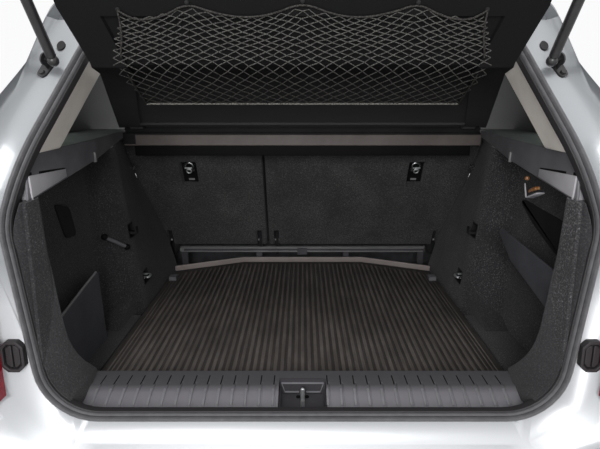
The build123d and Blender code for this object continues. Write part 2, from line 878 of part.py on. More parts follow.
def build_strip():
    """The fixed front strip of the shelf, with its ridge and the ears that hold its pins."""
    strip = block(-strip_half, strip_half, strip_rear, strip_front, strip_low, strip_top)
    strip -= block(-strip_half + strip_wall, strip_half - strip_wall, strip_rear + strip_wall, strip_front + 1,
                   strip_low - 1, strip_top - strip_wall)
    strip += block(-strip_ridge_half, strip_ridge_half, strip_ridge_rear, strip_ridge_front,
                   strip_top - strip_wall, strip_ridge_top)
    for side in (-1, 1):
        for end in (-1, 1):
            x = side * shelf_pin_x + end * (knuckle_half + ear_gap + ear_thick / 2)
            ear = block(x - ear_thick / 2, x + ear_thick / 2, shelf_y - knuckle_radius, strip_rear + 20,
                        strip_top - strip_wall, shelf_z)
            ear += Pos(x, shelf_y, shelf_z) * Rot(0, 90, 0) * Cylinder(knuckle_radius, ear_thick)
            strip += ear
        pin = Pos(side * shelf_pin_x, shelf_y, shelf_z) * Rot(0, 90, 0)
        strip += pin * Cylinder(shelf_pin_radius, 2 * (knuckle_half + ear_gap + ear_thick))
    return strip


def strut_frame(side):
    """The strut's start on its ball stud, its direction and its length's unit vector."""
    slope = math.atan2(flange_top[0] - flange_knee[0], flange_top[1] - flange_knee[1])
    out = Vector(0, -math.cos(slope), math.sin(slope))
    start = Vector(side * stud_x, flange_y(stud_z), stud_z) + out * stud_stand
    run = Vector(side * strut_out * -1, strut_back, strut_up).normalized()
    return start, run


def build_strut_tube(side):
    start, run = strut_frame(side)
    tube = rod_between(start + run * strut_socket, start + run * (strut_socket + tube_length), tube_radius)
    tube -= rod_between(start + run * (strut_socket + 8), start + run * (strut_socket + tube_length + 1), rod_radius + running_gap)
    socket = Pos(start.X, start.Y, start.Z) * Sphere(strut_socket + 1)
    neck = rod_between(start, start + run * (strut_socket + 4), strut_neck)
    socket = socket + neck + tube
    socket -= Pos(start.X, start.Y, start.Z) * Sphere(stud_radius + running_gap)
    socket -= rod_between(start, start + swing_axis(side) * 40, stud_radius - 0.5)
    return socket


def pillar_normal():
    """From the ball towards the pillar's face, in and forward."""
    slope = math.atan2(flange_top[0] - flange_knee[0], flange_top[1] - flange_knee[1])
    return Vector(0, math.cos(slope), -math.sin(slope))


def swing_axis(side):
    """The line a strut swings round: across its raised and its closed directions, pointing outboard."""
    raised = Vector(-strut_out, strut_back, strut_up).normalized()
    closed = Vector(closed_out, closed_back, closed_down).normalized()
    axis = raised.cross(closed).normalized()
    return Vector(side * axis.X, axis.Y, axis.Z)


def build_strut_rod(side):
    start, run = strut_frame(side)
    inside = strut_socket + tube_length - rod_in_tube
    rod = rod_between(start + run * inside, start + run * (inside + rod_length), rod_radius)
    end = start + run * (inside + rod_length + 8)
    eye = Pos(end.X, end.Y, end.Z) * Sphere(strut_eye) - Pos(end.X, end.Y, end.Z) * Sphere(stud_radius)
    eye -= rod_between(end, end + swing_axis(side) * 40, stud_radius)
    return rod + eye


def build_stud():
    """A strut's ball stud, pointing inboard from a bracket with its foot on the pillar."""
    start, run = strut_frame(1)
    down = pillar_normal()
    axis = swing_axis(1)
    side_on = (axis - down * axis.dot(down)).normalized()
    frame = Plane(origin=(start.X, start.Y, start.Z), x_dir=side_on, z_dir=down)
    foot_z = stud_stand - rest_gap - stud_foot_thick
    plate = Circle(stud_plate_radius) + Pos(-foot_z / 2, 0) * Rectangle(foot_z, 1.5 * stud_plate_radius)
    bracket = frame * (Pos(stud_reach, 0, 0) * Rot(0, 90, 0) * extrude(plate, amount=stud_plate))
    foot = Pos(stud_reach + stud_plate / 2, 0, foot_z + stud_foot_thick / 2)
    bracket += frame * (foot * Box(stud_foot_long, 2 * stud_plate_radius, stud_foot_thick))
    neck = rod_between(start + axis * (stud_radius - 2), start + axis * (stud_reach + 1), stud_neck)
    return bracket + neck + Pos(start.X, start.Y, start.Z) * Sphere(stud_radius)


def build_lamp():
    """The right tail lamp, wrapped round the body's corner."""
    lens = (body_volume(0) - body_volume(lamp_deep)) & zone(x0=lamp_inner, y1=lamp_front, z0=lamp_low, z1=lamp_high)
    lens &= across(flange_side(tailgate_depth, reach_deep))
    back = zone(x0=lamp_inner, x1=lamp_back, y1=lamp_front, z0=lamp_low, z1=lamp_high)
    back &= across(flange_side(tailgate_depth, lamp_deep - tailgate_depth)) & body_volume(0)
    return lens + back


def buffer_outline(inset):
    """The right buffer's eight-sided outline in X and Z, made smaller by inset."""
    face = Pos((buffer_inner + buffer_outer) / 2, (buffer_low + buffer_top) / 2) * Rectangle(
        buffer_outer - buffer_inner - 2 * inset, buffer_top - buffer_low - 2 * inset)
    return chamfer(face.vertices(), buffer_corner - inset / 2)


def build_buffer():
    """The right stop buffer: an eight-sided frame round two rubber pads."""
    frame = lengthwise(buffer_outline(0)) & across(flange_side(buffer_proud, -seal_gap))
    frame -= lengthwise(buffer_outline(buffer_rim)) & across(flange_side(buffer_proud + 1, -buffer_floor))
    pads = lengthwise(buffer_outline(buffer_rim + buffer_pad_gap)) & across(flange_side(buffer_pad_proud, -buffer_floor))
    middle = (buffer_inner + buffer_outer) / 2
    pads -= zone(x0=middle - buffer_pad_gap / 2, x1=middle + buffer_pad_gap / 2)
    return frame + pads


def build_plug():
    """The right oval plug in the pillar's rebate."""
    slope = math.degrees(math.atan2(flange_top[0] - flange_knee[0], flange_top[1] - flange_knee[1]))
    place = Pos(plug_x, flange_y(plug_z), plug_z) * Rot(90 - slope, 0, 0)
    return place * extrude(Ellipse(plug_wide, plug_high), amount=plug_proud)


def build_guard(side, trims):
    """A cargo guard: a slanted panel over the side pocket's mouth."""
    if side < 0:
        face = face_of(guard_left_points, guard_left_radii)
        return along_x(face, -guard_left_half - guard_thick, -guard_left_half) - trims
    return along_x(face_of(guard_right_points, guard_right_radii), guard_right_half, guard_right_half + guard_thick) - trims


def cup_shell(recess, side, mouth, room):
    """The thin cup that lines a recess, cut off at its mouth."""
    cup = inset_room(recess, side, rest_gap) - inset_room(recess, side, cup_wall) - room
    return cup - zone(x0=-mouth, x1=mouth)


def build_hooks(room):
    """The bag hooks, each in its cup in a side trim."""
    pieces = []
    for side in (-1, 1):
        mouth = hook_arm[0] + 8
        pieces.append(cup_shell(hook_room, side, mouth, room) + boxed(hook_arm, side) + boxed(hook_tip, side))
    return fuse_all(pieces)


def build_eyes(room):
    """The lashing eyes, each a bow in its cup in a side trim."""
    pieces = []
    for side in (-1, 1):
        cup = cup_shell(eye_room, side, eye_bar[0] + 2, room)
        pieces.append(cup + boxed(eye_rear_leg, side) + boxed(eye_front_leg, side) + boxed(eye_bar, side))
    return fuse_all(pieces)


def build_floor_catches():
    """The small catches at the load floor's front corners."""
    return boxed(catch_box) + boxed(catch_box, -1)


def build_seat_strikers(trims):
    """The bright bows on the side trims that the seat backs latch on."""
    bow = boxed(bow_outer) - boxed(bow_slot) + boxed(bow_bar) - trims
    return bow + mirrored(bow)


parts = {}


def add_pair(name, right):
    """A right-hand piece and its mirror image, under their two names."""
    parts[name + "_right"] = right
    parts[name + "_left"] = mirrored(right)


cavity = build_cavity()
shell = build_shell(cavity)
parts.update(build_body(shell))
parts["rear_panel"] += build_rear_sheet()
lamp = build_lamp()
add_pair("tail_lamp", lamp)
parts["quarter_panel_right"] -= lamp
parts["quarter_panel_left"] -= mirrored(lamp)
parts["bumper_beam"] = build_bumper_beam()
parts["opening_seal"] = build_seal()
house = build_wheel_house() - shell
add_pair("wheel_house", house)
pan = build_pan() - shell
parts["floor_pan"] = pan
parts["bumper_cover"] = build_bumper() - shell - house - mirrored(house) - pan
parts["seat_cross_member"] = build_cross_member() - shell
parts["chassis_rails"] = build_rails() - shell
trims = build_side_trims(shell)
room = bay_volume(0)
parts["side_trim_left"] = trims & zone(x1=0)
parts["side_trim_right"] = trims & zone(x0=0)
add_pair("ledge_trim", build_ledge(cavity))
add_pair("pillar_trim", build_pillar_trim(shell))
add_pair("quarter_glass", build_glass())
parts["load_floor"] = build_board()
parts["load_floor_lip"] = build_lip()
parts["floor_bearers"] = build_board_rest()
parts["sill_trim"] = build_sill()
parts["latch_plate"] = build_latch()
parts["latch_striker"] = build_striker()
parts["seat_back_left"] = build_seat(-1)
parts["seat_back_right"] = build_seat(1)
parts["seat_hinge_arms"] = build_seat_arms()
parts["seat_foot_rail"] = build_foot_rail()
parts["tether_anchor_left"] = build_tether(-tether_x)
parts["tether_anchor_right"] = build_tether(tether_x)
parts["parcel_shelf"] = build_shelf()
parts["shelf_net"] = build_net_pad()
parts["shelf_front_strip"] = build_strip()
for side, word in ((-1, "left"), (1, "right")):
    parts["strut_tube_" + word] = build_strut_tube(side)
    parts["strut_rod_" + word] = build_strut_rod(side)
    parts["cargo_guard_" + word] = build_guard(side, trims)
stud = build_stud()
parts["strut_studs"] = stud + mirrored(stud)
buffer = build_buffer()
parts["stop_buffers"] = buffer + mirrored(buffer)
plug = build_plug()
parts["blanking_plugs"] = plug + mirrored(plug)
parts["bag_hooks"] = build_hooks(room)
parts["lashing_eyes"] = build_eyes(room)
parts["floor_catches"] = build_floor_catches()
parts["seat_strikers"] = build_seat_strikers(trims)
for name, shape in parts.items():
    save(name, shape)
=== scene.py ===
import random
from math import atan2, ceil, cos, exp, pi, radians, sin, sqrt, tan

import bmesh
import bpy
from mathutils import Matrix, Vector


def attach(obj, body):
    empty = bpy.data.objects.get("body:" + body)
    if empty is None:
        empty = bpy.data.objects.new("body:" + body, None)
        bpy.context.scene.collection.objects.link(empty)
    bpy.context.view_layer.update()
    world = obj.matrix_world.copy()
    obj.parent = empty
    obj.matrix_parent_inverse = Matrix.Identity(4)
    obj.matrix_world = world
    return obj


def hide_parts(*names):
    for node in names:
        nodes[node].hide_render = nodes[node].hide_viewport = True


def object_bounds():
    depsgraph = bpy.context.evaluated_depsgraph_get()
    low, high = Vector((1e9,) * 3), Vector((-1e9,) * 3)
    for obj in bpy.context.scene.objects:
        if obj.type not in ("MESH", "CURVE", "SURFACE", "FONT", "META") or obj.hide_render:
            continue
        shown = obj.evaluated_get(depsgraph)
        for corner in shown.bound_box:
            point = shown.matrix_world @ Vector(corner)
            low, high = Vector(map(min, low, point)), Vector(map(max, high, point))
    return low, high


# Metres. X is to the right seen from behind the car, Y forward, Z up, as the frame has them.
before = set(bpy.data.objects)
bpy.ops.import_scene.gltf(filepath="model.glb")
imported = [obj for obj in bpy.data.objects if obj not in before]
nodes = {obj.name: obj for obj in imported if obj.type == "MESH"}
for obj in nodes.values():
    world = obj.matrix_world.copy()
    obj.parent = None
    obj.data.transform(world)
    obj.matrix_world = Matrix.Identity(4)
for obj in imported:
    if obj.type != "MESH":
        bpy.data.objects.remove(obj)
cad_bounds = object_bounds()
MM = 0.001
SIDES = ((-1, "left"), (1, "right"))
VERT, EDGE = bmesh.types.BMVert, bmesh.types.BMEdge


# Colour and node helpers


def linear(hex_colour):
    """An sRGB hex colour as linear RGBA."""
    parts = [int(hex_colour[i:i + 2], 16) / 255 for i in (1, 3, 5)]
    return tuple(p / 12.92 if p <= 0.04045 else ((p + 0.055) / 1.055) ** 2.4 for p in parts) + (1.0,)


def shade(hex_colour, by):
    """An sRGB hex colour made darker or paler by so many of its 255 steps."""
    return "#" + "".join("%02x" % min(255, max(0, int(hex_colour[i:i + 2], 16) + by)) for i in (1, 3, 5))


def add_node(tree, kind, inputs=None, **settings):
    """A shader node with its settings, and its inputs set or linked."""
    node = tree.nodes.new("ShaderNode" + kind)
    for key, value in settings.items():
        setattr(node, key, value)
    for key, value in (inputs or {}).items():
        if isinstance(value, bpy.types.NodeSocket):
            tree.links.new(value, node.inputs[key])
        else:
            node.inputs[key].default_value = value
    return node


def new_material(name, base, roughness, **sockets):
    """A Principled material with its plain values, and its tree and shader."""
    material = bpy.data.materials.new(name)
    material.use_nodes = True
    tree = material.node_tree
    shader = tree.nodes["Principled BSDF"]
    shader.inputs["Base Color"].default_value = linear(base)
    shader.inputs["Roughness"].default_value = roughness
    for key, value in sockets.items():
        shader.inputs[key.replace("_", " ")].default_value = value
    material.diffuse_color = linear(base)
    return material, tree, shader


def object_place(tree):
    """Object coordinates, so that a pattern stays on its piece."""
    return add_node(tree, "TexCoord").outputs["Object"]


def axis(tree, where, name):
    """One coordinate of a place or a direction."""
    return add_node(tree, "SeparateXYZ", {0: where}).outputs[name]


def maths(tree, operation, *values):
    """What a maths node makes of numbers and sockets."""
    return add_node(tree, "Math", dict(enumerate(values)), operation=operation).outputs[0]


def dot(tree, where, direction):
    """How far a place lies along a direction."""
    inputs = {0: where, 1: direction}
    return add_node(tree, "VectorMath", inputs, operation="DOT_PRODUCT").outputs["Value"]


def remap(tree, value, to_low, to_high, from_low=0.0, from_high=1.0):
    """A value carried from one range to another."""
    inputs = dict(enumerate((value, from_low, from_high, to_low, to_high)))
    return add_node(tree, "MapRange", inputs).outputs[0]


def object_noise(tree, per_metre, detail=3.0, rough=0.55, squeeze=None):
    """Noise on Object coordinates, so many waves to the metre."""
    where = object_place(tree)
    if squeeze:
        where = add_node(tree, "Mapping", {"Vector": where, "Scale": squeeze}).outputs["Vector"]
    inputs = {"Vector": where, "Scale": per_metre, "Detail": detail, "Roughness": rough}
    return add_node(tree, "TexNoise", inputs).outputs["Fac"]


def object_cells(tree, per_metre):
    """Distance inside round cells, so many to the metre."""
    inputs = {"Vector": object_place(tree), "Scale": per_metre}
    return add_node(tree, "TexVoronoi", inputs).outputs["Distance"]


def colour_steps(tree, factor, stops):
    """A colour ramp from (position, hex) stops."""
    ramp = add_node(tree, "ValToRGB", {"Fac": factor})
    elements = ramp.color_ramp.elements
    while len(elements) < len(stops):
        elements.new(0.5)
    for element, (place, colour) in zip(elements, stops):
        element.position = place
        element.color = linear(colour)
    return ramp.outputs["Color"]


def colour_by(tree, shader, factor, *stops):
    """The shader's base colour by a factor."""
    tree.links.new(colour_steps(tree, factor, stops), shader.inputs["Base Color"])


def relief(tree, shader, height, depth, strength=1.0):
    """A bump of a depth in metres on the shader."""
    bump = add_node(tree, "Bump", {"Height": height, "Distance": depth, "Strength": strength})
    tree.links.new(bump.outputs["Normal"], shader.inputs["Normal"])


def leather_grain(tree, shader, per_metre=900.0):
    """The fine moulded grain of trim plastic."""
    relief(tree, shader, object_cells(tree, per_metre), 0.00015, 0.6)


def share_seen(tree):
    """1 for the rays of the camera, of mirrors and through glass, 0 for those that light things."""
    rays = add_node(tree, "LightPath").outputs
    mirror = maths(tree, "MAXIMUM", rays["Is Camera Ray"], rays["Is Glossy Ray"])
    return maths(tree, "MAXIMUM", mirror, rays["Is Transmission Ray"])


# Materials

PAINT_METAL, PAINT_COAT, PAINT_ROUGH, LINING_ROUGH = 0.45, 0.7, 0.34, 0.6
# Heights over which the paint's painted light low down fades into its painted shade above
PAINTED_LIGHT_FADE_LOW, PAINTED_LIGHT_FADE_HIGH = 0.26, 0.36
# The plane of the upper flange, and the slanting line above which the body is lined inside
FLANGE_NORMAL, FLANGE_REACH = (0.0, -0.8034, 0.5954), 1.214
LINED_NORMAL, LINED_REACH = (0.0, 0.08, 1.0), 0.49
FACING_IN = -0.12


def silver_clearcoat(name, upper, lower, lining="#464b46"):
    """Basecoat with metal flake under clear lacquer, painted paler low down as painted light and darker above
    the shoulder as painted shade.

    Its inner faces round the windows are lined with dull green-grey trim, as the eye meets them
    through the opening."""
    material, tree, shader = new_material(name, upper, PAINT_ROUGH, Metallic=PAINT_METAL,
                                          Coat_Weight=PAINT_COAT, Coat_Roughness=0.06)
    where = object_place(tree)
    # Painted light and shade by height: the paler tone low down, the darker one above the shoulder
    rise = remap(tree, axis(tree, where, "Z"), 0.0, 1.0, PAINTED_LIGHT_FADE_LOW, PAINTED_LIGHT_FADE_HIGH)
    height = maths(tree, "MULTIPLY_ADD", object_noise(tree, 1400, 2.0), 0.25, rise)
    lit_and_shaded_silver = colour_steps(tree, height, [(0.1, lower), (1.0, upper)])
    facing = axis(tree, add_node(tree, "NewGeometry").outputs["Normal"], "X")
    inward = maths(tree, "MULTIPLY", axis(tree, where, "X"), facing)
    turned = maths(tree, "LESS_THAN", inward, FACING_IN)
    inside = maths(tree, "LESS_THAN", dot(tree, where, FLANGE_NORMAL), FLANGE_REACH)
    above = maths(tree, "GREATER_THAN", dot(tree, where, LINED_NORMAL), LINED_REACH)
    lined = maths(tree, "MULTIPLY", maths(tree, "MULTIPLY", turned, inside), above)
    mixed = add_node(tree, "Mix", {0: lined, 6: lit_and_shaded_silver, 7: linear(lining)}, data_type="RGBA")
    tree.links.new(mixed.outputs[2], shader.inputs["Base Color"])
    for socket, painted, trimmed in (("Metallic", PAINT_METAL, 0.0), ("Coat Weight", PAINT_COAT, 0.0),
                                     ("Roughness", PAINT_ROUGH, LINING_ROUGH)):
        tree.links.new(remap(tree, lined, painted, trimmed), shader.inputs[socket])
    relief(tree, shader, object_noise(tree, 900, 1.0), 0.00002)
    return material


def mottled(name, base, roughness, mottle=None, stops=(), pores=None, **sockets):
    """A material with mottled colour and a fine relief.

    mottle is (waves to the metre, detail) and pores is (waves to the metre, detail, depth)."""
    material, tree, shader = new_material(name, base, roughness, **sockets)
    if mottle:
        colour_by(tree, shader, object_noise(tree, *mottle), *stops)
    if pores:
        relief(tree, shader, object_noise(tree, *pores[:2]), pores[2])
    return material


def needled_carpet(name, deep, middle, light, lint, linty=0.0, nap=0.0016):
    """Needle-punched polyester felt: matted charcoal fibres with pale lint, drawn 4 mm coarse to show."""
    material, tree, shader = new_material(name, middle, 0.98, Sheen_Weight=0.12, Sheen_Roughness=0.6,
                                          Specular_IOR_Level=0.15)
    drift = remap(tree, object_noise(tree, 7, 4.0, 0.6), linty - 0.06, linty + 0.06, 0.3, 0.7)
    mixed = maths(tree, "ADD", object_noise(tree, 300, 2.0, 0.7), drift)
    colour_by(tree, shader, mixed, (0.36, deep), (0.5, middle), (0.62, light), (0.73, lint))
    relief(tree, shader, object_noise(tree, 420, 3.0, 0.8), nap, 0.7)
    return material


def woven_seat_cloth():
    """Flat-woven polyester seat cloth: charcoal, a 2 mm weave drawn at 4 mm so that it shows."""
    material, tree, shader = new_material("woven_seat_cloth", "#26262a", 0.95, Sheen_Weight=0.2,
                                          Sheen_Roughness=0.5, Specular_IOR_Level=0.2)
    threads = {"Vector": object_place(tree), "Scale": 80.0, "Distortion": 0.6}
    warp, weft = (add_node(tree, "TexWave", threads, bands_direction=way).outputs["Fac"]
                  for way in "XZ")
    weave = maths(tree, "MULTIPLY", warp, weft)
    colour_by(tree, shader, weave, (0.1, "#1c1c20"), (0.6, "#303035"))
    relief(tree, shader, weave, 0.0006)
    return material


def grained(name, colour, roughness, grain=900, spread=6, specular=0.45):
    """Injection-moulded polypropylene with a fine leather grain: low broad gloss, a little uneven."""
    material, tree, shader = new_material(name + "_polypropylene", colour, roughness,
                                          Specular_IOR_Level=specular)
    uneven = object_noise(tree, 14, 5.0, 0.6)
    colour_by(tree, shader, uneven, (0.35, shade(colour, -spread)), (0.65, shade(colour, spread)))
    leather_grain(tree, shader, grain)
    return material


def shelf_board():
    """The shelf's moulded black skin, painted paler towards its hinge edge as painted light and darker
    further up.
    """
    material, tree, shader = new_material("painted_light_black_polypropylene", "#2a2a2b", 0.7,
                                          Specular_IOR_Level=0.1)
    rise = axis(tree, object_place(tree), "Z")
    height = maths(tree, "MULTIPLY_ADD", object_noise(tree, 12, 3.0), 0.03, rise)
    # Painted light: paler low on the shelf, darker above
    colour_by(tree, shader, height, (0.60, "#4b4a4b"), (0.72, "#171718"))
    leather_grain(tree, shader)
    return material


def sill_paler_outwards():
    """The sill trim's grained polypropylene, drawn paler on its outer slope towards its rear edge."""
    material, tree, shader = new_material("outward_paler_sill_polypropylene", "#59585b", 0.42,
                                          Specular_IOR_Level=0.45)
    outward_share = remap(tree, axis(tree, object_place(tree), "Y"), 0.0, 1.0, -1.072, -1.092)
    outward_paleness = maths(tree, "MULTIPLY_ADD", object_noise(tree, 40, 4.0, 0.7), 0.2, outward_share)
    colour_by(tree, shader, outward_paleness, (0.1, "#545356"), (1.0, "#7c7a7f"))
    leather_grain(tree, shader)
    return material


def ribbed_mat_rubber(name, dark, middle, pale):
    """Calendered rubber-backed mat: dark warm grey, dusty where loads slide."""
    material, tree, shader = new_material(name, middle, 0.62, Specular_IOR_Level=0.35)
    dust = object_noise(tree, 5, 6.0, 0.65)
    scuff = object_noise(tree, 60, 3.0, 0.7, (1.0, 0.12, 1.0))
    colour_by(tree, shader, maths(tree, "MULTIPLY", dust, scuff), (0.12, dark), (0.26, middle), (0.4, pale))
    relief(tree, shader, object_noise(tree, 420, 2.0), 0.0002)
    return material


def zinc_steel(name, colour, smooth, rough):
    """Zinc-plated wire: cool and metallic, with faint drawing marks."""
    material, tree, shader = new_material(name, colour, smooth, Metallic=1.0)
    tree.links.new(remap(tree, object_noise(tree, 400, 2.0), smooth, rough), shader.inputs["Roughness"])
    return material


def lamp_acrylic(name, deep, pale):
    """Moulded acrylic lens, coloured right through: a polished face over fine optics."""
    material, tree, shader = new_material(name, deep, 0.12, Coat_Weight=0.6, Coat_Roughness=0.04,
                                          Subsurface_Weight=0.15)
    colour_by(tree, shader, object_cells(tree, 140.0), (0.1, pale), (0.6, deep))
    return material


def foam_board():
    """Moulded polypropylene foam: small beads, black."""
    material, tree, shader = new_material("moulded_bead_foam", "#202022", 0.85)
    relief(tree, shader, object_cells(tree, 240.0), 0.0006)
    return material


# The body's silver is painted paler low down and darker above as painted light and shade; the bumper's two
# tones barely differ
paint = silver_clearcoat("silver_clearcoat_paint", "#979a9d", "#c8cacd")
bumper_finish = silver_clearcoat("silver_clearcoat_on_plastic", "#b2b4b6", "#b9bbbd")
# Dark primer over stamped steel: dull, with a little dust
primer = mottled("electrocoated_steel", "#3c3d40", 0.6, (30, 5.0), ((0.35, "#343538"), (0.65, "#444548")),
                 Metallic=0.1)
# Extruded sponge rubber: matt brown-grey with a soft sheen and fine lengthwise wear
seal_rubber = mottled("extruded_epdm_seal", "#5d5c5f", 0.42, (60, 4.0),
                      ((0.3, "#555457"), (0.55, "#5e5d60"), (0.8, "#69686a")), (700, 2.0, 0.0001),
                      Sheen_Weight=0.1, Sheen_Roughness=0.5)
# The seal's gripping lip and the buffers: dense brown-black rubber, duller than the bulb
lip_rubber = mottled("moulded_black_rubber", "#2b292b", 0.6, pores=(500, 2.0, 0.0002))
wall_felt = needled_carpet("needled_wall_felt", "#262527", "#323133", "#403f41", "#666465")
# The right wall's felt, drawn paler than the left's with more pale fibres
paler_wall_felt = needled_carpet("paler_right_wall_felt", "#282729", "#363537", "#4a494b", "#767475", 0.015)
rim_felt = needled_carpet("close_rim_felt", "#313032", "#39383a", "#434244", "#545254", 0.0, 0.0005)
seat_felt = needled_carpet("needled_seat_felt", "#303030", "#403f40", "#50504f", "#737372")
# Nearly black felt for the lip between the seat backs: painted shade in the gap
seam_shade_felt = needled_carpet("shaded_seam_felt", "#060606", "#0a0a0a", "#0e0e0e", "#161616")
seat_cloth = woven_seat_cloth()
shelf_pp = grained("grained_black", "#2a2a2b", 0.7, 900, 3, 0.1)
board_pp = shelf_board()
deep_pp = grained("matt_black", "#0f0f10", 0.75, 900, 2, 0.15)
ledge_pp = grained("grained_charcoal", "#6e6d71", 0.5)
facet_pp = grained("grained_pale_grey", "#b4b2b6", 0.46)
sill_pp = sill_paler_outwards()
# Pale grey as a painted highlight on the sill's ribs; the latch frame's bars share it
rib_pp = grained("pale_sill_rib", "#7f7e82", 0.4)
guard_pp = grained("smooth_guard", "#505156", 0.4, 1500)
rail_pp = grained("half_gloss_rail", "#828283", 0.34, 1500)
label_pp = grained("pale_blank_label", "#8f8f90", 0.5)
strip_pp = grained("brown_grey_strip", "#655d5a", 0.5)
lip_pp = grained("brown_grey_lip", "#8f8582", 0.5)
tray_pp = grained("grained_tray", "#454347", 0.5)
beige_pp = grained("beige_pillar", "#f4ede4", 0.5)
mat_rubber = ribbed_mat_rubber("ribbed_mat_rubber", "#33302e", "#403c3a", "#4c4845")
# The mat's ribs and raised lines are drawn paler than the mat, a painted highlight on their tops
rib_highlight_rubber = ribbed_mat_rubber("pale_topped_mat_rib_rubber", "#4f4a47", "#625c59", "#746d69")
steel = zinc_steel("zinc_plated_steel", "#c9cbcc", 0.16, 0.34)
dull_steel = zinc_steel("dull_zinc_plated_steel", "#dcdedf", 0.42, 0.6)
# Black stoved enamel on the strut's tube: smooth, half gloss
enamel = mottled("stoved_black_enamel", "#232224", 0.38, (40, 4.0), ((0.3, "#1d1c1e"), (0.7, "#2e2c2e")),
                 Coat_Weight=0.2, Coat_Roughness=0.2)
# Green-tinted toughened side glass, faintly rippled
glass = mottled("toughened_side_glass", "#b9c8bb", 0.02, pores=(6, 2.0, 0.0001), Transmission_Weight=1.0,
                IOR=1.5)
lens = lamp_acrylic("moulded_red_acrylic", "#8f0d22", "#a51027")
amber = lamp_acrylic("moulded_amber_acrylic", "#8c5a36", "#c79a6c")
# Braided nylon cords: matt, with their strands as pale and dark dashes
net_nylon, elastic, dashed_cord = (
    mottled(name, dark, 0.8, (380, 2.0), ((0.4, dark), (0.6, pale)), Specular_IOR_Level=0.25)
    for name, dark, pale in (("braided_net_nylon", "#3d3c3b", "#6a6965"),
                             ("wrapped_elastic_cord", "#242322", "#4c4a47"),
                             ("wrapped_pale_cord", "#3c3a38", "#a3a19b")))
foam = foam_board()


def both(name):
    """The left and the right of a pair of nodes."""
    return (name + "_left", name + "_right")


# A piece's home: the body that it rides on, and a slot name that nothing reads
TRIM, CARPET, STEEL = ("root", "trim_plastic"), ("root", "trim_carpet"), ("root", "bright_steel")
STRIP, SILL, RUBBER = ("root", "strip_plastic"), ("root", "sill_plastic"), ("root", "seal_rubber")
SHELF, MAT = ("parcel_shelf", "trim_plastic"), ("load_floor", "floor_mat")

# Each CAD node keeps its shape and gets a finish, and some get a softened copy in their place
# Columns: nodes, material, and the copy's rounding, home and top
FINISHES = (
    (("side_trim_left",), wall_felt, 0.003, CARPET),
    (("side_trim_right",), paler_wall_felt, 0.003, CARPET),
    (both("ledge_trim"), ledge_pp, 0.002, TRIM),
    (both("pillar_trim"), beige_pp, 0.005, ("root", "pillar_plastic")),
    (both("cargo_guard"), guard_pp, 0.002, TRIM),
    (both("quarter_panel") + ("roof_header", "rear_panel"), paint, 0.0, ("root", "body_paint")),
    (("bumper_cover",), bumper_finish, 0.006, ("root", "bumper_paint")),
    (("parcel_shelf",), board_pp, 0.003, SHELF),
    (("load_floor_lip",), lip_pp, 0.004, ("load_floor", "strip_plastic")),
    (("sill_trim",), sill_pp, 0.0008, SILL),
    (("stop_buffers",), lip_rubber, 0.004, RUBBER),
    (("shelf_front_strip",), strip_pp, 0.003, STRIP, 0.5335),
    (("bumper_beam", "floor_pan", "seat_cross_member", "chassis_rails"), primer),
    (both("wheel_house"), wall_felt),
    (("opening_seal",), seal_rubber),
    (("blanking_plugs",), lip_rubber),
    (both("seat_back"), seat_felt),
    (("floor_catches",), ledge_pp),
    (both("quarter_glass"), glass),
    (("load_floor",), mat_rubber),
    (("floor_bearers",), foam),
    (("latch_plate", "seat_foot_rail"), tray_pp),
    (("latch_striker",), dull_steel),
    (both("tether_anchor") + both("strut_rod") + ("seat_strikers",), steel),
    (both("strut_tube") + ("strut_studs",), enamel),
    (("bag_hooks", "lashing_eyes", "seat_hinge_arms"), shelf_pp),
    (both("tail_lamp"), lens),
    (("shelf_net",), net_nylon),
)
for names, material, *_ in FINISHES:
    for name in names:
        node_mesh = nodes[name].data
        node_mesh.materials.clear()
        node_mesh.materials.append(material)


# Modelling helpers

MERGE = 0.00002
NEARLY_FLAT = radians(2)


def put_object(name, data):
    """A new object in the scene."""
    made = bpy.data.objects.new(name, data)
    bpy.context.scene.collection.objects.link(made)
    return made


def add_piece(name, mesh_source, material, home, replaces=(), angle=40):
    """A finished mesh as a piece that rides on its body."""
    if isinstance(mesh_source, bmesh.types.BMesh):
        mesh = bpy.data.meshes.new(name)
        mesh_source.to_mesh(mesh)
        mesh_source.free()
    else:
        mesh = mesh_source
        mesh.name = name
    mesh.materials.clear()
    mesh.materials.append(material)
    mesh.shade_smooth()
    mesh.set_sharp_from_angle(angle=radians(angle))
    piece = put_object(name, mesh)
    body, slot = home
    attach(piece, body)
    if replaces:
        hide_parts(*replaces)
    return piece


def kept(items, kind):
    """The verts or edges among what an operator returned."""
    return [item for item in items if isinstance(item, kind)]


def face_outwards(shape):
    """All faces of a bmesh turned outwards."""
    bmesh.ops.recalc_face_normals(shape, faces=shape.faces)


def bevel_edges(shape, edges, width, segments):
    """Edges of a bmesh rounded by a width."""
    return bmesh.ops.bevel(shape, geom=edges, offset=width, segments=segments, affect="EDGES",
                           profile=0.5, material=-1)


def bevel_piece(piece, name, width, segments, angle):
    """A modifier that rounds a piece's sharper edges."""
    bevel = piece.modifiers.new(name, "BEVEL")
    bevel.width = width
    bevel.segments = segments
    bevel.limit_method = "ANGLE"
    bevel.angle_limit = radians(angle)


def node_shape(name):
    """A CAD node's mesh, merged along its faces' borders."""
    shape = bmesh.new()
    shape.from_mesh(nodes[name].data)
    bmesh.ops.remove_doubles(shape, verts=shape.verts, dist=MERGE)
    return shape


def cut_and_close(shape, point, normal, **side):
    """A shape cut at a plane, with the cut closed."""
    everything = shape.verts[:] + shape.edges[:] + shape.faces[:]
    cut = bmesh.ops.bisect_plane(shape, geom=everything, plane_co=point, plane_no=normal, **side)
    bmesh.ops.holes_fill(shape, edges=kept(cut["geom_cut"], EDGE))


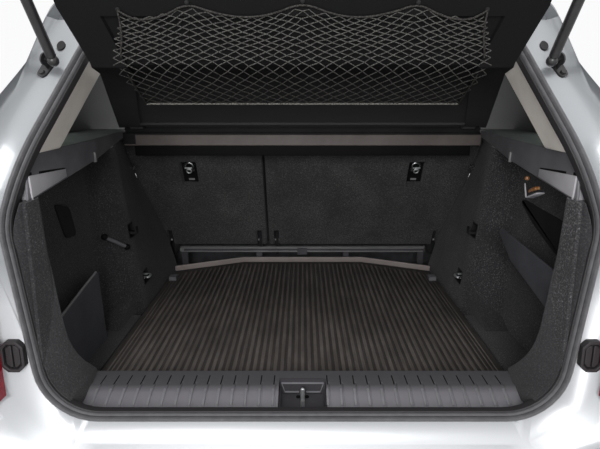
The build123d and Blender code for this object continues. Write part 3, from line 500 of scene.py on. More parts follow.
def soften(name, material, width, home, top=None):
    """A copy of a CAD node in its place, smooth where it curves and with its edges rounded."""
    shape = node_shape(name)
    if top:
        cut_and_close(shape, (0, 0, top), (0, 0, 1), clear_outer=True)
    bmesh.ops.dissolve_limit(shape, angle_limit=NEARLY_FLAT, verts=shape.verts, edges=shape.edges)
    piece = add_piece(name + "_finish", shape, material, home, (name,), 30)
    if width:
        bevel_piece(piece, "edge_round", width, 3, 30)


def sweep(profile, places):
    """A profile loop carried round a closed row of places."""
    shape = bmesh.new()
    rings = [[shape.verts.new(place @ Vector((x, y, 0))) for x, y in profile] for place in places]
    for ring, after in zip(rings, rings[1:] + rings[:1]):
        for i in range(len(profile)):
            shape.faces.new((ring[i - 1], ring[i], after[i], after[i - 1]))
    face_outwards(shape)
    return shape


def block(shape, low, high, rounding=0.0, segments=2, place=None):
    """A box between two corners, with rounded edges, added to a bmesh."""
    made = bmesh.ops.create_cube(shape, size=1.0)["verts"]
    bmesh.ops.scale(shape, vec=[b - a for a, b in zip(low, high)], verts=made)
    bmesh.ops.translate(shape, vec=[(a + b) / 2 for a, b in zip(low, high)], verts=made)
    if rounding:
        edges = {e for v in made for e in v.link_edges}
        out = bevel_edges(shape, list(edges), rounding, segments)
        made = list({v for f in out["faces"] for v in f.verts} | {v for v in made if v.is_valid})
    if place:
        bmesh.ops.transform(shape, matrix=place, verts=made)
    return made


def bead(shape, place, radius, around, up):
    """A ball added to a bmesh."""
    made = bmesh.ops.create_uvsphere(shape, u_segments=around, v_segments=up, radius=radius)["verts"]
    bmesh.ops.translate(shape, vec=place, verts=made)


def stub(shape, place, segments, foot, head, depth):
    """A short tapered disc added to a bmesh, with its axis along the Z of its place."""
    made = bmesh.ops.create_cone(shape, cap_ends=True, segments=segments, radius1=foot, radius2=head,
                                 depth=depth)["verts"]
    bmesh.ops.transform(shape, matrix=place, verts=made)


def add_blocks(name, rows, material, home, place=None):
    """A piece of rounded blocks. Columns: low corner, high corner, rounding, segments."""
    shape = bmesh.new()
    for low, high, rounding, segments in rows:
        block(shape, low, high, rounding, segments, place)
    add_piece(name, shape, material, home)


def add_plate(name, corners, thick, rounding, segments, material, rounded=None):
    """A thin plate from its corners and its thickness, with all its edges or some of them rounded."""
    shape = bmesh.new()
    face = shape.faces.new([shape.verts.new(place) for place in corners])
    grown = bmesh.ops.extrude_face_region(shape, geom=[face])["geom"]
    bmesh.ops.translate(shape, vec=thick, verts=kept(grown, VERT))
    face_outwards(shape)
    bevel_edges(shape, [e for e in shape.edges if rounded is None or rounded(e)], rounding, segments)
    add_piece(name, shape, material, TRIM)


def add_cord(name, lines, radius, material, home, replaces=(), angle=40, cyclic=False, smooth=True,
             resolution=3):
    """Round cords or bars of one radius along rows of points, as one piece."""
    curve = bpy.data.curves.new(name + "_line", "CURVE")
    curve.dimensions = "3D"
    curve.bevel_depth = radius
    curve.bevel_resolution = resolution
    curve.use_fill_caps = True
    for line in lines:
        spline = curve.splines.new("NURBS" if smooth else "POLY")
        spline.points.add(len(line) - 1)
        for point, place in zip(spline.points, line):
            point.co = (*place, 1.0)
        spline.use_cyclic_u = cyclic
        if smooth:
            spline.order_u = 3
            spline.use_endpoint_u = not cyclic
            spline.resolution_u = 4
    maker = put_object(name + "_line", curve)
    bpy.context.view_layer.update()
    mesh = bpy.data.meshes.new_from_object(maker.evaluated_get(bpy.context.evaluated_depsgraph_get()))
    bpy.data.objects.remove(maker)
    bpy.data.curves.remove(curve)
    add_piece(name, mesh, material, home, replaces, angle)


# The opening's outline and the flange it lies on, as the solids have them

# Y and Z of the flange's ends and knee, and the radius of its bend
FLANGE_LOW = Vector((-1.191, -0.340))
FLANGE_KNEE = Vector((-1.121, 0.540))
FLANGE_TOP = Vector((-0.832, 0.930))
FLANGE_BEND = 0.260
# Columns: half width, height, corner radius
OPENING_CORNERS = ((0.526, 0.016, 0.125), (0.568, 0.425, 0.160), (0.500, 0.592, 0.600), (0.412, 0.852, 0.090))
ARC_STEPS = 9
LONGEST_STEP = 0.03


def flange_at(z):
    """The flange's y at height z, and its outward direction in Y and Z."""
    low = (FLANGE_KNEE - FLANGE_LOW).normalized()
    high = (FLANGE_TOP - FLANGE_KNEE).normalized()
    tangent = FLANGE_BEND * tan(low.angle(high) / 2)
    start = FLANGE_KNEE - low * tangent
    end = FLANGE_KNEE + high * tangent
    if start.y <= z <= end.y:
        centre = start + Vector((low.y, -low.x)) * FLANGE_BEND
        y = centre.x - sqrt(FLANGE_BEND ** 2 - (z - centre.y) ** 2)
        return y, (Vector((y, z)) - centre).normalized()
    run, base = (low, start) if z < start.y else (high, end)
    return base.x + run.x * (z - base.y) / run.y, Vector((-run.y, run.x))


def opening_line(grow):
    """Points in X and Z round the opening, grown outwards, starting at the lower right."""
    right = [(x + grow, z + (grow if z > 0.4 else -grow if z < 0.1 else 0), r + grow)
             for x, z, r in OPENING_CORNERS]
    corners = right + [(-x, z, r) for x, z, r in reversed(right)]
    line = []
    for index, (x, z, radius) in enumerate(corners):
        here = Vector((x, z))
        before = (Vector(corners[index - 1][:2]) - here).normalized()
        after = (Vector(corners[(index + 1) % len(corners)][:2]) - here).normalized()
        half = before.angle(after) / 2
        reach = radius / tan(half)
        middle = here + (before + after).normalized() * (radius / sin(half))
        start = here + before * reach - middle
        turn = 1 if start.cross(here + after * reach - middle) > 0 else -1
        for step in range(ARC_STEPS + 1):
            angle = turn * (pi - 2 * half) * step / ARC_STEPS
            line.append(middle + Matrix.Rotation(angle, 2) @ start)
    full = []
    for a, b in zip(line, line[1:] + line[:1]):
        parts = max(1, ceil((b - a).length / LONGEST_STEP))
        full += [a.lerp(b, k / parts) for k in range(parts)]
    return full


def opening_places():
    """Frames along the opening's edge: X inwards, Y out from the flange, Z along it."""
    points = []
    for p in opening_line(0.0):
        y, out = flange_at(p.y)
        points.append((Vector((p.x, y, p.y)), Vector((0, out.x, out.y))))
    places = []
    for index, (point, out) in enumerate(points):
        along = (points[(index + 1) % len(points)][0] - points[index - 1][0]).normalized()
        inward = out.cross(along).normalized()
        along = inward.cross(out).normalized()
        place = Matrix((inward, out, along)).transposed().to_4x4()
        place.translation = point
        places.append(place)
    return places


# The door seal: a sponge bulb with a groove, and the black lip that grips the flange
# Profiles in millimetres: inwards from the opening's edge, out from the flange
SEAL_BULB = ((0.4, 0.6), (0.0, 4.0), (0.8, 8.0), (3.2, 12.2), (6.8, 14.8), (9.6, 14.6), (11.2, 12.4),
             (11.4, 4.6), (13.2, 4.6), (13.6, 8.6), (15.6, 8.4), (17.2, 6.4), (17.8, 3.4), (16.8, 0.6))
SEAL_LIP = ((16.6, 0.6), (18.2, 2.8), (19.8, 1.6), (20.4, -3.0), (19.4, -13.0), (17.4, -13.6),
            (16.6, -8.0))


def build_seal():
    places = opening_places()
    for name, profile, material, replaced in (
            ("opening_seal_bulb", SEAL_BULB, seal_rubber, ("opening_seal",)),
            ("opening_seal_lip", SEAL_LIP, lip_rubber, ())):
        shape = sweep([(x * MM, y * MM) for x, y in profile], places)
        add_piece(name, shape, material, RUBBER, replaced, 35)


build_seal()


# The load floor: a board under a ribbed mat, with a tongue between its cut front corners

BOARD_HALF = 0.502
BOARD_FRONT = -0.212
BOARD_REAR = -1.012
BOARD_LOW, BOARD_HIGH = -0.020, -0.0008
BOARD_CORNER, BOARD_ROUND = 0.024, 0.003
CORNER_X, CORNER_Y = 0.500, -0.322
TONGUE_HALF = 0.243
RIB_PITCH = 0.0172
RIB_HALF = 0.450
RIB_HALF_WIDTH = 0.0043
RIB_LOW, RIB_HIGH = -0.0012, 0.0026
RIB_REAR, RIB_FRONT = -1.004, -0.246
LINES_AT = (0.462, 0.474, 0.484)
LINE_HALF_WIDTH, LINE_HIGH, LINE_FRONT = 0.0016, 0.0016, -0.345


def build_floor():
    board = bmesh.new()
    block(board, (-BOARD_HALF, BOARD_REAR, BOARD_LOW), (BOARD_HALF, BOARD_FRONT, BOARD_HIGH))
    for side, _ in SIDES:
        middle = Vector((side * (CORNER_X + TONGUE_HALF) / 2, (CORNER_Y + BOARD_FRONT) / 2, 0))
        outward = Vector((side * (BOARD_FRONT - CORNER_Y), CORNER_X - TONGUE_HALF, 0)).normalized()
        cut_and_close(board, middle, outward, clear_outer=True)
    bevel_edges(board, [e for e in board.edges if abs(e.verts[0].co.z - e.verts[1].co.z) > 0.01],
                BOARD_CORNER, 4)
    bevel_edges(board, [e for e in board.edges if all(v.co.z > -0.002 for v in e.verts)
                        and len(e.link_faces) == 2 and e.calc_face_angle(0) > 0.5], BOARD_ROUND, 2)
    add_piece("load_floor_mat", board, mat_rubber, MAT, ("load_floor",))
    ribs = bmesh.new()
    count = 2 * int(RIB_HALF / RIB_PITCH)
    for index in range(count + 1):
        x = (index - count / 2) * RIB_PITCH
        front = RIB_FRONT - max(0.0, abs(x) - TONGUE_HALF) * 0.43
        block(ribs, (x - RIB_HALF_WIDTH, RIB_REAR, RIB_LOW), (x + RIB_HALF_WIDTH, front, RIB_HIGH), 0.0012, 1)
    for side, _ in SIDES:
        for across in LINES_AT:
            x = side * across
            block(ribs, (x - LINE_HALF_WIDTH, RIB_REAR + 0.02, RIB_LOW),
                  (x + LINE_HALF_WIDTH, LINE_FRONT, LINE_HIGH), 0.0008, 1)
    add_piece("load_floor_ribs", ribs, rib_highlight_rubber, MAT)


build_floor()


# The raised shelf's net, tied along its edges by an elastic cord

# The shelf rises flat from its hinge and then bends up
SHELF_ORIGIN = Vector((0, -0.450, 0.563))
SHELF_ANGLE = radians(15.8)
SHELF_BEND = radians(60)
SHELF_FLAT = 0.556
SHELF_DOWN = -0.0075
CORD_DOWN = SHELF_DOWN - 0.003
# Places on the net are across from the middle and along from the hinge
NET_NEAR, NET_FAR = 0.305, 0.668
NET_FLAT_SHARE = 0.36
NET_HALF_NEAR, NET_HALF_FAR = 0.402, 0.335
NET_ROWS, NET_COLUMNS = 26, 50
NET_SIDE = ((0.402, 0.305), (0.385, 0.40), (0.368, 0.50), (0.358, 0.575), (0.338, 0.620), (0.335, 0.664))
NET_TOP = ((0.335, 0.664), (0.318, 0.650), (0.290, 0.646), (0.250, 0.655), (0.208, 0.676), (0.165, 0.660),
           (0.110, 0.650), (0.055, 0.656), (0.0, 0.678))
NET_HOOKS = ((0.335, 0.664), (0.208, 0.676), (0.0, 0.678), (0.402, 0.305))
NET_DIP, NET_BELLY = 0.018, 0.004
UNEVEN_ACROSS, UNEVEN_ALONG = 0.0025, 0.001
NET_CORD, BOTTOM_CORD, ELASTIC_CORD = 0.0010, 0.0026, 0.0017
HOOK_SPACING, HOOK_HEAD = 0.208, 0.0045


def on_shelf(x, along, down=SHELF_DOWN):
    """A point on the raised shelf: x across, along from the hinge and round its bend, down off it."""
    def run(angle):
        return Vector((0, -cos(angle), sin(angle)))

    place = SHELF_ORIGIN + run(SHELF_ANGLE) * min(along, SHELF_FLAT) + Vector((x, 0, 0))
    tilt = SHELF_ANGLE
    if along > SHELF_FLAT:
        place += run(SHELF_BEND) * (along - SHELF_FLAT)
        share = min(1.0, (along - SHELF_FLAT) / 0.012)
        tilt = SHELF_ANGLE + (SHELF_BEND - SHELF_ANGLE) * (0.5 + 0.5 * share)
    return place + Vector((0, sin(tilt), cos(tilt))) * down


def net_along(share):
    """Where on the shelf a row of knots lies: loose on the flat part, drawn together behind the bend."""
    if share < NET_FLAT_SHARE:
        return NET_NEAR + (SHELF_FLAT - NET_NEAR) * share / NET_FLAT_SHARE
    return SHELF_FLAT + (NET_FAR - SHELF_FLAT) * (share - NET_FLAT_SHARE) / (1 - NET_FLAT_SHARE)


def net_knots():
    """The knots by row and column, a little uneven, drawn down between the hooks and bellied."""
    dice = random.Random(7)
    knots = {}
    for row in range(NET_ROWS + 1):
        share = row / NET_ROWS
        along = net_along(share)
        half = NET_HALF_NEAR + (NET_HALF_FAR - NET_HALF_NEAR) * share
        for column in range(row % 2, NET_COLUMNS + 1, 2):
            x = (column / NET_COLUMNS * 2 - 1) * half
            dip = NET_DIP * abs(sin(x / HOOK_SPACING * pi)) * max(0.0, share - 0.6) / 0.4
            belly = NET_BELLY * sin(pi * share) * cos(x / half * pi / 2)
            across = x + dice.uniform(-UNEVEN_ACROSS, UNEVEN_ACROSS)
            knots[row, column] = on_shelf(across, along - dip + dice.uniform(-UNEVEN_ALONG, UNEVEN_ALONG),
                                          SHELF_DOWN - belly)
    return knots


def build_net():
    """A knotted diamond net between a wrapped bottom cord and an elastic that dips between its hooks."""
    knots = net_knots()
    runs = []
    for step in (1, -1):
        for row, column in knots:
            if (row - 1, column - step) in knots:
                continue
            run = []
            while (row, column) in knots:
                run.append(knots[row, column])
                row, column = row + 1, column + step
            if len(run) > 1:
                runs.append(run)
    home = ("parcel_shelf", "net_cord")
    add_cord("shelf_net_cords", runs, NET_CORD, net_nylon, home, ("shelf_net",), 80, smooth=False,
             resolution=0)
    bottom = [on_shelf(x / 10 * NET_HALF_NEAR, NET_NEAR - 0.002 + 0.001 * (x % 2), CORD_DOWN)
              for x in range(-10, 11)]
    add_cord("shelf_net_bottom_cord", [bottom], BOTTOM_CORD, dashed_cord, home, resolution=2)
    edges = [[on_shelf(side * x, along, CORD_DOWN) for x, along in NET_SIDE] for side, _ in SIDES]
    top = [(-x, along) for x, along in NET_TOP[:-1]] + list(reversed(NET_TOP))
    edges.append([on_shelf(x, along, CORD_DOWN) for x, along in top])
    add_cord("shelf_net_elastic", edges, ELASTIC_CORD, elastic, home, resolution=2)
    hooks = bmesh.new()
    for x, along in NET_HOOKS:
        for side in ((-1, 1) if x else (1,)):
            bead(hooks, on_shelf(side * x, along), HOOK_HEAD, 12, 8)
    add_piece("shelf_net_hooks", hooks, shelf_pp, SHELF)


build_net()


# The seat backs: a carpeted panel behind a sewn foam cushion
# The seat's own axes: X across, Y up the panel, Z towards the load space

SEAT_RAKE = radians(22)
SEAT_FRAME = Matrix(((1, 0, 0, 0), (0, -sin(SEAT_RAKE), -cos(SEAT_RAKE), -0.178),
                     (0, cos(SEAT_RAKE), -sin(SEAT_RAKE), 0.062), (0, 0, 0, 1)))
SEAT_HEIGHT = 0.500
PANEL_BACK = -0.032
EDGE_ROUND = 0.030
COVER_INSET = 0.006
BOLSTER_RISE, INSERT_RISE, INSERT_CROWN = 0.050, 0.040, 0.012
SEAM_DEPTH, SEAM_HALF = 0.010, 0.006
CHANNELS_FROM, CHANNELS_TO, CHANNEL_PITCH, CHANNEL_DEPTH = 0.09, 0.46, 0.062, 0.006
# Where the cover's head begins to thin, how far it runs and how much it loses
HEAD_FROM, HEAD_RUN, HEAD_LOSS = 0.40, 0.10, 0.25
# Columns: side, low and high X at the foot, low and high X at the top, steps across, inserts
CUSHIONS = (
    ("left", (-0.574, -0.147), (-0.632, -0.147), 96, ((-0.500, -0.215),)),
    ("right", (-0.137, 0.574), (-0.137, 0.632), 150, ((-0.095, 0.150), (0.215, 0.500))),
)


def build_seat_panel(side):
    """The panel is the solid's rear slice, with its recess and its rounded edges."""
    shape = node_shape("seat_back_" + side)
    forward = SEAT_FRAME.to_3x3() @ Vector((0, 0, 1))
    cut_and_close(shape, SEAT_FRAME @ Vector((0, 0, PANEL_BACK)), forward, clear_inner=True)
    bmesh.ops.dissolve_limit(shape, angle_limit=NEARLY_FLAT, verts=shape.verts, edges=shape.edges)
    piece = add_piece("seat_panel_" + side, shape, seat_felt, ("seat_" + side, "trim_carpet"),
                      ("seat_back_" + side,))
    bevel_piece(piece, "felt_round", 0.006, 3, 40)


def cushion_rise(across, up, inserts):
    """How far the cover stands off the panel: bolsters at the sides, sewn channels across each insert."""
    rise = BOLSTER_RISE
    for low, high in inserts:
        if low < across < high:
            middle = (across - low) / (high - low)
            rise = INSERT_RISE + INSERT_CROWN * sin(pi * middle) ** 0.5
            channel = abs(((up - CHANNELS_FROM) / CHANNEL_PITCH) % 1.0 - 0.5) * 2
            if CHANNELS_FROM < up < CHANNELS_TO:
                rise -= CHANNEL_DEPTH * max(0.0, channel - 0.72) / 0.28
        for seam in (low, high):
            rise -= SEAM_DEPTH * exp(-((across - seam) / SEAM_HALF) ** 2)
    return rise


def build_cushion(side, foot, top, across_steps, inserts):
    """The cover is one crowned sheet, pulled in at its edges and closed at the panel."""
    shape = bmesh.new()
    bmesh.ops.create_grid(shape, x_segments=across_steps, y_segments=90, size=0.5)
    for vert in shape.verts:
        share, up_share = vert.co.x + 0.5, vert.co.y + 0.5
        up = COVER_INSET + up_share * (SEAT_HEIGHT - 2 * COVER_INSET)
        low = foot[0] + (top[0] - foot[0]) * up_share
        high = foot[1] + (top[1] - foot[1]) * up_share
        across = low + COVER_INSET + share * (high - low - 2 * COVER_INSET)
        edge = min(min(across - low, high - across, up, SEAT_HEIGHT - up) / EDGE_ROUND, 1.0)
        round_off = sqrt(max(0.0, 1 - (1 - edge) ** 2))
        lean = 1.0 if up < HEAD_FROM else 1.0 - HEAD_LOSS * ((up - HEAD_FROM) / HEAD_RUN) ** 2
        rise = cushion_rise(across, up, inserts) * round_off * lean
        vert.co = SEAT_FRAME @ Vector((across, up, PANEL_BACK - rise))
    grown = bmesh.ops.extrude_edge_only(shape, edges=[e for e in shape.edges if e.is_boundary])["geom"]
    inverse = SEAT_FRAME.inverted()
    for vert in kept(grown, VERT):
        place = inverse @ vert.co
        vert.co = SEAT_FRAME @ Vector((place.x, place.y, PANEL_BACK + 0.0005))
    bmesh.ops.holes_fill(shape, edges=[e for e in shape.edges if e.is_boundary])
    face_outwards(shape)
    piece = add_piece("seat_cushion_" + side, shape, seat_cloth, ("seat_" + side, "trim_carpet"), (), 60)


for side, foot, top, across_steps, inserts in CUSHIONS:
    build_seat_panel(side)
    build_cushion(side, foot, top, across_steps, inserts)


# The linings round the opening: a carpeted rim that turns in to the sill, and the ledges' ends

RIM_EDGE = ((0.517, -1.092, 0.462), (0.511, -1.092, 0.330), (0.505, -1.092, 0.216),
            (0.499, -1.088, 0.150), (0.492, -1.066, 0.096), (0.487, -1.018, 0.037))
RIM_STEPS, RIM_THICK, RIM_SKIRT = 40, 0.0025, 0.03
# How far the rim tucks under the seal and stands off the flange, where it begins and ends, and its centre
RIM_TUCK, RIM_OFF = 0.019, 0.003
RIM_FROM_X, RIM_TO_Z = 0.462, 0.468
RIM_CENTRE = (0.300, 0.141)
# The rim's foot is its border below a height, where its edges run along Y
RIM_FOOT_Z, RIM_FOOT_STEP = 0.11, 0.004
# Columns: share of the way in from the seal, swelling
RIM_LOOPS = ((0.0, 0.0), (0.35, 0.004), (0.7, 0.006), (1.0, 0.0))
RIM_TURN = Vector((0.016, 0.004, 0))
# Columns: piece, low and high share of the facet's height, stand proud, material
# The pale facet and wedge plates are painted light on the ledge's lower face
FACETS = (("ledge_facet_", 0.0, 1.0, 0.0025, facet_pp), ("ledge_joint_", 1.0, 1.16, 0.0012, deep_pp))
# Columns: y, z of the facet's foot and head, x of the ledge's face
FACET_ENDS = ((-1.106, 0.468, 0.509, 0.5125), (-0.955, 0.483, 0.499, 0.5235))
FACET_DEPTH, FACET_LIFT, END_THICK = 0.006, 0.001, 0.0015
# Columns: piece, y, outline in X and Z, material
END_PLATES = (
    ("ledge_end_", -1.1015, ((0.512, 0.512), (0.512, 0.430), (0.575, 0.430), (0.575, 0.512)), ledge_pp),
    ("ledge_wedge_", -1.1045, ((0.511, 0.510), (0.511, 0.464), (0.535, 0.464)), facet_pp),
)
STRUT_FOOT_Z = 0.722
STRUT_PLATE_OFF, STRUT_PLATE_THICK = 0.0005, 0.004
STRUT_BOLT = (0.510, -0.033)
# The bolt's height off the flange, sides, radius at its foot and head, depth
BOLT_OFF, BOLT_FORM = 0.0065, (6, 0.0058, 0.0050, 0.004)
# Columns: x, up the flange, radius of the plate's two lobes
STRUT_LOBES = ((0.499, -0.002, 0.0115), (*STRUT_BOLT, 0.0095))
BOW_Z, BOW_WIRE = 0.075, 0.0042
LASHING_BOW = ((0.548, -0.561), (0.523, -0.561), (0.514, -0.556), (0.514, -0.534), (0.523, -0.529),
               (0.548, -0.529))
TETHER_X, TETHER_WIRE = 0.420, 0.0024
# In the seat's own axes: the ring's radius and place, and the bar's half length and place
RING_RADIUS, RING_UP, RING_OUT = 0.0085, 0.350, -0.010
BAR_HALF, BAR_UP, BAR_OUT = 0.013, 0.364, -0.008
TETHER_PLATES = (("blank_label_", (-0.011, 0.300, -0.0285), (0.011, 0.308, -0.0270), label_pp),
                 ("tether_cup_", (-0.0305, 0.2920, -0.0299), (0.0305, 0.3900, -0.0284), deep_pp))


def smooth_row(points, count):
    """Points evenly spread along a smooth line through a few."""
    rows = []
    for k in range(count):
        t = k / (count - 1) * (len(points) - 1)
        i = min(int(t), len(points) - 2)
        a, b, c, d = (Vector(points[max(0, min(len(points) - 1, i + step))]) for step in (-1, 0, 1, 2))
        f = t - i
        rows.append(0.5 * (2 * b + (c - a) * f + (2 * a - 5 * b + 4 * c - d) * f ** 2
                           + (3 * b - a - 3 * c + d) * f ** 3))
    return rows


def rim_outer():
    """The rim's outer line, tucked under the seal's lip, from the ledge down to the sill's end."""
    line = [p for p in opening_line(-RIM_TUCK) if p.x > RIM_FROM_X and p.y < RIM_TO_Z]
    line.sort(key=lambda p: -atan2(p.y - RIM_CENTRE[1], p.x - RIM_CENTRE[0]))
    return [(p.x, flange_at(p.y)[0] + RIM_OFF, p.y) for p in line]


def build_rim(side, word):
    rows = list(zip(smooth_row(rim_outer(), RIM_STEPS), smooth_row(RIM_EDGE, RIM_STEPS)))
    lines = [[a.lerp(b, share) + Vector((-swell, 0, swell * 0.4)) for a, b in rows]
             for share, swell in RIM_LOOPS]
    lines.append([b + RIM_TURN for a, b in rows])
    shape = bmesh.new()
    loops = []
    for line in lines:
        verts = [shape.verts.new((side * place.x, place.y, place.z)) for place in line]
        loops.append([shape.edges.new(pair) for pair in zip(verts, verts[1:])])
    for near, far in zip(loops, loops[1:]):
        bmesh.ops.bridge_loops(shape, edges=near + far)
    foot = [e for e in shape.edges if e.is_boundary and all(v.co.z < RIM_FOOT_Z for v in e.verts)
            and abs(e.verts[0].co.y - e.verts[1].co.y) > RIM_FOOT_STEP
            and e not in loops[0] and e not in loops[-1]]
    grown = bmesh.ops.extrude_edge_only(shape, edges=foot)["geom"]
    bmesh.ops.translate(shape, vec=(0, 0, -RIM_SKIRT), verts=kept(grown, VERT))
    face_outwards(shape)
    bmesh.ops.solidify(shape, geom=shape.faces[:], thickness=RIM_THICK)
    add_piece("rim_lining_" + word, shape, rim_felt, CARPET, (), 45)


def build_ledge_end(side, word):
    """The facet low on a ledge's face, pale as painted light where the face meets the light, the dark joint
    above it, and the plates across its end.
    """
    for name, low, high, proud, material in FACETS:
        near, far = [[(side * (x - proud), y, foot + (head - foot) * share + (FACET_LIFT if share else 0))
                      for share in (low, high)] for y, foot, head, x in FACET_ENDS]
        add_plate(name + word, [*near, *reversed(far)], (side * FACET_DEPTH, 0, 0), 0.0006, 2, material)
    for name, y, outline, material in END_PLATES:
        add_plate(name + word, [(side * x, y, z) for x, z in outline], (0, END_THICK, 0), 0.0004, 2, material)


def build_strut_foot(side, word):
    """The plate under a strut's ball, with its round lobe and bolt, flat on the pillar's flange."""
    slope = atan2(FLANGE_TOP.x - FLANGE_KNEE.x, FLANGE_TOP.y - FLANGE_KNEE.y)
    up = Vector((0, sin(slope), cos(slope)))
    out = Vector((0, -cos(slope), sin(slope)))
    place = Matrix((Vector((1, 0, 0)), up, out)).transposed().to_4x4()
    place.translation = Vector((0, flange_at(STRUT_FOOT_Z)[0], STRUT_FOOT_Z))
    shape = bmesh.new()
    for x, v, radius in STRUT_LOBES:
        made = bmesh.ops.create_circle(shape, segments=24, radius=radius)["verts"]
        bmesh.ops.translate(shape, vec=(side * x, v, STRUT_PLATE_OFF), verts=made)
    hull = bmesh.ops.convex_hull(shape, input=shape.verts)
    bmesh.ops.delete(shape, geom=hull["geom_interior"], context="VERTS")
    bmesh.ops.dissolve_limit(shape, angle_limit=0.01, verts=shape.verts, edges=shape.edges)
    grown = bmesh.ops.extrude_face_region(shape, geom=shape.faces[:1])["geom"]
    bmesh.ops.translate(shape, vec=(0, 0, STRUT_PLATE_THICK), verts=kept(grown, VERT))
    face_outwards(shape)
    stub(shape, Matrix.Translation((side * STRUT_BOLT[0], STRUT_BOLT[1], BOLT_OFF)), *BOLT_FORM)
    bmesh.ops.transform(shape, matrix=place, verts=shape.verts)
    add_piece("strut_foot_" + word, shape, enamel, ("root", "strut_paint"))


def build_tether(side, word):
    """A tether anchor's cup, ring and bar in the seat back's recess, and the blank label."""
    x = side * TETHER_X
    home, place = ("seat_" + word, "trim_plastic"), SEAT_FRAME @ Matrix.Translation((x, 0, 0))
    for name, low, high, material in TETHER_PLATES:
        add_blocks(name + word, ((low, high, 0.0005, 1),), material, home, place)
    turns = [k * pi / 6 for k in range(12)]
    ring = [(x + RING_RADIUS * cos(turn), RING_UP + RING_RADIUS * sin(turn), RING_OUT)
            for turn in turns]
    bar = [(x + across, BAR_UP, BAR_OUT) for across in (-BAR_HALF, 0.0, BAR_HALF)]
    for name, line, closed in (("tether_ring_", ring, True), ("tether_bar_", bar, False)):
        line = [SEAT_FRAME @ Vector(place) for place in line]
        add_cord(name + word, [line], TETHER_WIRE, dull_steel, ("seat_" + word, "bright_steel"),
                 cyclic=closed)


for side, word in SIDES:
    build_rim(side, word)
    build_ledge_end(side, word)
    build_strut_foot(side, word)
    build_tether(side, word)
    bow = [(side * x, y, BOW_Z) for x, y in LASHING_BOW]
    add_cord("lashing_bow_" + word, [bow], BOW_WIRE, dull_steel, STEEL)


# The sill's ribs and slots, and the latch in its tray

SILL_SLOPE = Matrix.Translation((0, -1.076, 0.032)) @ Matrix.Rotation(atan2(0.020, 0.050), 4, "X")
SILL_PITCH, SILL_PLACES, LATCH_HALF = 0.030, 31, 0.057
# Columns: low and high X off the place, low and high Y, low and high Z, rounding, segments
SILL_RIB = (-0.0080, -0.0022, -0.046, -0.006, -0.001, 0.0018, 0.0012, 2)
SILL_SLOT = (-0.0056, -0.0030, -1.070, -1.036, 0.0312, 0.0325, 0.0005, 1)
# Columns: low corner, high corner, rounding, segments
LATCH_BARS = (((-0.0485, -1.0535, 0.0205), (0.0485, -1.0500, 0.0240), 0.001, 2),
              ((-0.0410, -1.0535, -0.0028), (-0.0080, -1.0500, 0.0008), 0.001, 2),
              ((0.0080, -1.0535, -0.0028), (0.0410, -1.0500, 0.0008), 0.001, 2))
LATCH_CHEEK = ((-0.0010, -0.0012, -0.0125), (0.0010, 0.0012, 0.0125), 0.0005, 1)
CHEEK_AT, CHEEK_LEAN = Vector((0.0445, -1.0518, 0.0107)), 0.30
# A screw hole's place, sides, radius at its foot and head, depth
HOLE_AT, HOLE_FORM = Vector((0.0100, -1.0630, -0.0056)), (20, 0.0052, 0.0048, 0.0016)
STRIKER_HEAD = ((0, -1.0720, 0.0190), 0.0052, 16, 10)


def sill_row(x0, x1, y0, y1, z0, z1, rounding, segments):
    """One small block at each place along the sill, with none beside the latch."""
    places = [(index - SILL_PLACES // 2) * SILL_PITCH for index in range(SILL_PLACES)]
    return [((x + x0, y0, z0), (x + x1, y1, z1), rounding, segments) for x in places if abs(x) > LATCH_HALF]


# The ribs are drawn pale as a painted highlight on each notch
add_blocks("sill_ribs", sill_row(*SILL_RIB), rib_pp, SILL, SILL_SLOPE)
# Matt black strips at the notches: painted shade in the slots
add_blocks("sill_slots", sill_row(*SILL_SLOT), deep_pp, SILL)


def build_latch():
    """The thin frame round the striker, its two screw holes drawn as matt black discs of painted shade, and
    the striker's round head.
    """
    border = bmesh.new()
    for low, high, rounding, segments in LATCH_BARS:
        block(border, low, high, rounding, segments)
    holes = bmesh.new()
    for side, _ in SIDES:
        across = Vector((side, 1, 1))
        lean = Matrix.Rotation(side * CHEEK_LEAN, 4, "Y")
        block(border, *LATCH_CHEEK, Matrix.Translation(CHEEK_AT * across) @ lean)
        stub(holes, Matrix.Translation(HOLE_AT * across), *HOLE_FORM)
    add_piece("latch_frame", border, rib_pp, SILL)
    add_piece("latch_screw_holes", holes, deep_pp, SILL)
    head = bmesh.new()
    bead(head, *STRIKER_HEAD)
    add_piece("latch_striker_head", head, dull_steel, STEEL)


build_latch()


# Small mouldings. Columns: piece, material, home, and its blocks by low and high corner, rounding, segments

